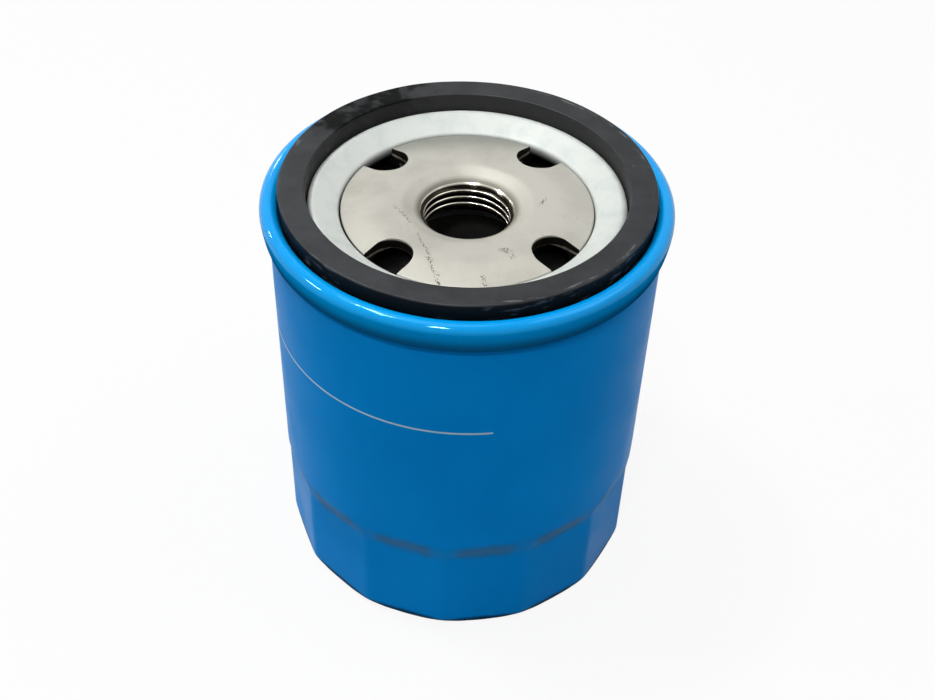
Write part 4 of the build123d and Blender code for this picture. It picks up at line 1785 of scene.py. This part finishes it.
@dataclass
class Studio:
    """Plain pale floor, white surroundings and soft lamps."""

    lamps: Sequence[Lamp]
    floor_half_m: float = 3.0
    floor_bounce: float = 0.45
    floor_white: float = 0.95
    white_share: float = 0.9
    ambient: float = 0.2

    def build(self, aim: Vector) -> None:
        """Puts up the floor, the world and the lamps.

        Args:
            aim: the point that the lamps are aimed at.
        """
        self._floor()
        self._world()
        for lamp in self.lamps:
            log.info("lamp %s", lamp.place(aim).name)
        bpy.context.scene.view_settings.view_transform = "Standard"

    @staticmethod
    def _seen(tree: bpy.types.NodeTree) -> Socket:
        """Whether a ray comes from the camera, a mirror image or through glass.

        Args:
            tree: the nodes that it is part of.

        Returns:
            1 for such a ray, 0 for any other.
        """
        path = tree.nodes.new("ShaderNodeLightPath")
        seen = path.outputs["Is Camera Ray"]
        for name in ("Is Glossy Ray", "Is Transmission Ray"):
            either = tree.nodes.new("ShaderNodeMath")
            either.operation = "MAXIMUM"
            tree.links.new(seen, either.inputs[0])
            tree.links.new(path.outputs[name], either.inputs[1])
            seen = either.outputs[0]
        return seen

    def _floor(self) -> None:
        """Makes the floor: white as seen, with the object's shadow kept on it."""
        size = self.floor_half_m
        mesh = bpy.data.meshes.new("floor")
        corners = [(-size, -size, 0), (size, -size, 0), (size, size, 0), (-size, size, 0)]
        mesh.from_pydata(corners, [], [(0, 1, 2, 3)])
        floor = bpy.data.objects.new("floor", mesh)
        bpy.context.scene.collection.objects.link(floor)
        material = bpy.data.materials.new("pale_floor")
        material.use_nodes = True
        tree = material.node_tree
        tree.nodes.clear()
        output = tree.nodes.new("ShaderNodeOutputMaterial")
        matt = tree.nodes.new("ShaderNodeBsdfDiffuse")
        matt.inputs["Color"].default_value = (self.floor_bounce,) * 3 + (1.0,)
        pale = tree.nodes.new("ShaderNodeBsdfDiffuse")
        pale.inputs["Color"].default_value = (self.floor_white,) * 3 + (1.0,)
        white = tree.nodes.new("ShaderNodeEmission")
        white.inputs["Strength"].default_value = 1.0
        shaded = tree.nodes.new("ShaderNodeMixShader")
        shaded.inputs[0].default_value = self.white_share
        tree.links.new(pale.outputs[0], shaded.inputs[1])
        tree.links.new(white.outputs[0], shaded.inputs[2])
        mixed = tree.nodes.new("ShaderNodeMixShader")
        tree.links.new(self._seen(tree), mixed.inputs[0])
        tree.links.new(matt.outputs[0], mixed.inputs[1])
        tree.links.new(shaded.outputs[0], mixed.inputs[2])
        tree.links.new(mixed.outputs[0], output.inputs["Surface"])
        mesh.materials.append(material)
        floor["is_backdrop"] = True

    def _world(self) -> None:
        """Makes the surroundings: white as seen, a low even light otherwise."""
        world = bpy.data.worlds.new("studio")
        bpy.context.scene.world = world
        world.use_nodes = True
        tree = world.node_tree
        tree.nodes.clear()
        output = tree.nodes.new("ShaderNodeOutputWorld")
        backdrop = tree.nodes.new("ShaderNodeBackground")
        strength = tree.nodes.new("ShaderNodeMapRange")
        strength.inputs["To Min"].default_value = self.ambient
        strength.inputs["To Max"].default_value = 1.0
        tree.links.new(self._seen(tree), strength.inputs["Value"])
        tree.links.new(strength.outputs[0], backdrop.inputs["Strength"])
        tree.links.new(backdrop.outputs[0], output.inputs["Surface"])


@dataclass(frozen=True)
class Viewpoint:
    """The camera, looking down at the filter from the front.

    Attributes:
        lens: focal length.
        distance: from the aim to the camera.
        elevation: how far above the horizon the camera stands, in degrees.
        roll: how far the camera is turned about its own axis, in degrees.
        aim: the point at the middle of the view.
        sensor: width of the sensor.
        nearest: how near the camera still sees.
    """

    lens: float = 51.08
    distance: float = 277.93
    elevation: float = 42.743
    roll: float = 1.986
    aim: tuple[float, float, float] = (0.976, 0.0, 45.06)
    sensor: float = 36.0
    nearest: float = 10.0

    def place(self) -> bpy.types.Object:
        """Puts the camera in the scene and makes it the active one.

        Returns:
            The camera.
        """
        data = bpy.data.cameras.new("camera")
        data.lens = self.lens
        data.sensor_width = self.sensor
        data.clip_start = self.nearest * MM
        camera = bpy.data.objects.new("camera", data)
        tilt, turn = math.radians(self.elevation), math.radians(self.roll)
        ahead = Vector((0.0, math.cos(tilt), -math.sin(tilt)))
        side = Vector((1.0, 0.0, 0.0))
        upward = side.cross(ahead)
        right = side * math.cos(turn) + upward * math.sin(turn)
        up = upward * math.cos(turn) - side * math.sin(turn)
        axes = Matrix((right, up, -ahead)).transposed()
        place = (Vector(self.aim) - ahead * self.distance) * MM
        camera.matrix_world = Matrix.Translation(place) @ axes.to_4x4()
        bpy.context.scene.collection.objects.link(camera)
        bpy.context.scene.camera = camera
        return camera


# ---------------------------------------------------------------------------- all of it
def main() -> None:
    """Builds the filter's looks, the studio and the camera."""
    logging.basicConfig(level=logging.INFO, format="%(name)s: %(message)s")
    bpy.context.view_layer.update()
    wall_paint = Enamel(
        name="blue_enamel",
        colour=(0, 161, 254),
        dark=(0, 155, 247),
        gloss=0.015,
        roughness=0.3,
        rule=Rule(height=59.1, thickness=0.4, start_degrees=-172.0, end_degrees=-80.6),
        # painted shade where the wall steps in to each flat
        step=StepShade(height=24.2, reach=3.0, count=Can.flat_count, corner_degrees=Can.flats_phase,
                       share=0.62),
        # painted shade round the base's lower corner
        fade=ShadeBelow(low=1.3, high=2.6, share=0.9, ragged=0.6, colour=(6, 30, 48)),
    )
    seam_paint = Enamel(
        name="blue_enamel_seam",
        # the same enamel as the wall, given a lighter colour: the extra lightness is painted light on the
        # bead
        colour=(0, 173, 255),
        dark=(0, 168, 253),
        gloss_heights=(84.2, 85.0),
        # painted shade down the seam's lower side
        fade=ShadeBelow(low=80.6, high=84.0, share=0.8, ragged=0.2, colour=(14, 74, 124)),
    )
    sealing_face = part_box("sealing_gasket")[1].z / MM
    housing = (
        Can(finish=wall_paint),
        Lid(paint=seam_paint, zinc=ZincPlate(name="zinc_plate")),
        Gasket(finish=Rubber(name="gasket_rubber", oil_degrees=(109.0, 150.0), face_height=sealing_face)),
        TappingPlate(
            steel=OiledSteel(
                name="oiled_steel",
                # painted shade in the gap at the plate's edge
                gap_shade_radius=24.06,
                scratches=(
                    Scratch(start=(-13.8, -1.2), end=(-10.6, -7.6), width=0.8),
                    Scratch(start=(-9.2, -9.6), end=(-6.6, -17.0), width=0.4),
                    Scratch(start=(-7.0, -16.4), end=(-4.2, -24.3), width=0.6),
                    Scratch(start=(2.8, -20.6), end=(5.0, -24.0), width=0.9),
                    Scratch(start=(6.2, -13.4), end=(9.4, -16.6), width=1.2),
                    Scratch(start=(14.0, -1.0), end=(15.5, 2.5), width=0.7),
                ),
            ),
            cut=CutSteel(name="cut_thread", crest_radius=8.24, root_radius=8.42, root_shade_top=81.3),
            sheared=ShearedSteel(name="sheared_edge", burr_heights=(80.7, 81.25), rim_height=82.95),
        ),
        DrainbackValve(
            finish=Rubber(name="valve_rubber", colour=(13, 13, 13), bloom=(20, 20, 20), gloss=0.12),
        ),
    )
    wire = Bare(name="spring_wire", colour=(120, 120, 122), metallic=0.95, roughness=0.34)
    springs = (
        Spring(node="support_spring", body="housing", joint="element_float", travel=1.5,
               is_held_above=False, wire=2.0, turns=4, finish=wire),
        Spring(node="bypass_spring", body="element", joint="bypass_lift", travel=3.0,
               is_held_above=True, wire=1.0, turns=6, finish=wire),
    )
    for sub_assembly in housing + springs:
        log.info("built %s", sub_assembly.build().name)
    cap_steel = Bare(name="cap_steel", colour=(168, 172, 170), metallic=0.8, roughness=0.4)
    valve_steel = Bare(name="valve_steel", colour=(205, 202, 194), metallic=0.95, roughness=0.3)
    adhesive = Bare(name="set_adhesive", colour=(168, 84, 66), metallic=0.0, roughness=0.45, grain=1.2,
                    depth=0.08)
    seal = Rubber(name="seal_rubber", colour=(20, 20, 21), bloom=(32, 32, 33))
    InnerPieces(finishes={
        "seam_compound": Rubber(name="seam_compound", colour=(58, 54, 48), bloom=(70, 64, 56), roughness=0.7),
        "top_end_cap": cap_steel,
        "bottom_end_cap": cap_steel,
        "top_potting": adhesive,
        "bottom_potting": adhesive,
        "pleated_media": Paper(name="filter_paper"),
        "media_seam_clip": cap_steel,
        "centre_tube": Bare(name="tube_steel", colour=(92, 92, 90), metallic=0.5, roughness=0.5),
        "bypass_seat": valve_steel,
        "bypass_cage": valve_steel,
        "bypass_seal": seal,
        "bypass_poppet": valve_steel,
        "spring_retainer": valve_steel,
    }).dress()
    low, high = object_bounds()
    studio = Studio(lamps=(
        Lamp(side=Side.OVERHEAD, distance=0.9, width=0.50, power=1.5),
        Lamp(side=Side.STEEP_LEFT, distance=0.8, width=0.09, power=1.75),
        Lamp(side=Side.FRONT_TOP, distance=0.8, width=0.07, power=1.2),
        Lamp(side=Side.RIGHT_TOP, distance=0.8, width=0.40, power=1.05),
        Lamp(side=Side.LEFT, distance=0.8, width=0.05, power=0.42),
        Lamp(side=Side.BACK_LEFT, distance=0.8, width=0.05, power=0.35),
        Lamp(side=Side.BACK, distance=0.8, width=0.04, power=0.2),
        Lamp(side=Side.GLINT_FRONT, distance=0.8, width=0.09, power=1.4, is_glint=True),
        Lamp(side=Side.GLINT_STEEP, distance=0.8, width=0.09, power=1.4, is_glint=True),
        Lamp(side=Side.GLINT_LEFT, distance=0.8, width=0.06, power=1.1, is_glint=True),
    ))
    studio.build(aim=(Vector(low) + Vector(high)) / 2)
    log.info("camera %s", Viewpoint().place().name)


if __name__ == "__main__":
    main()
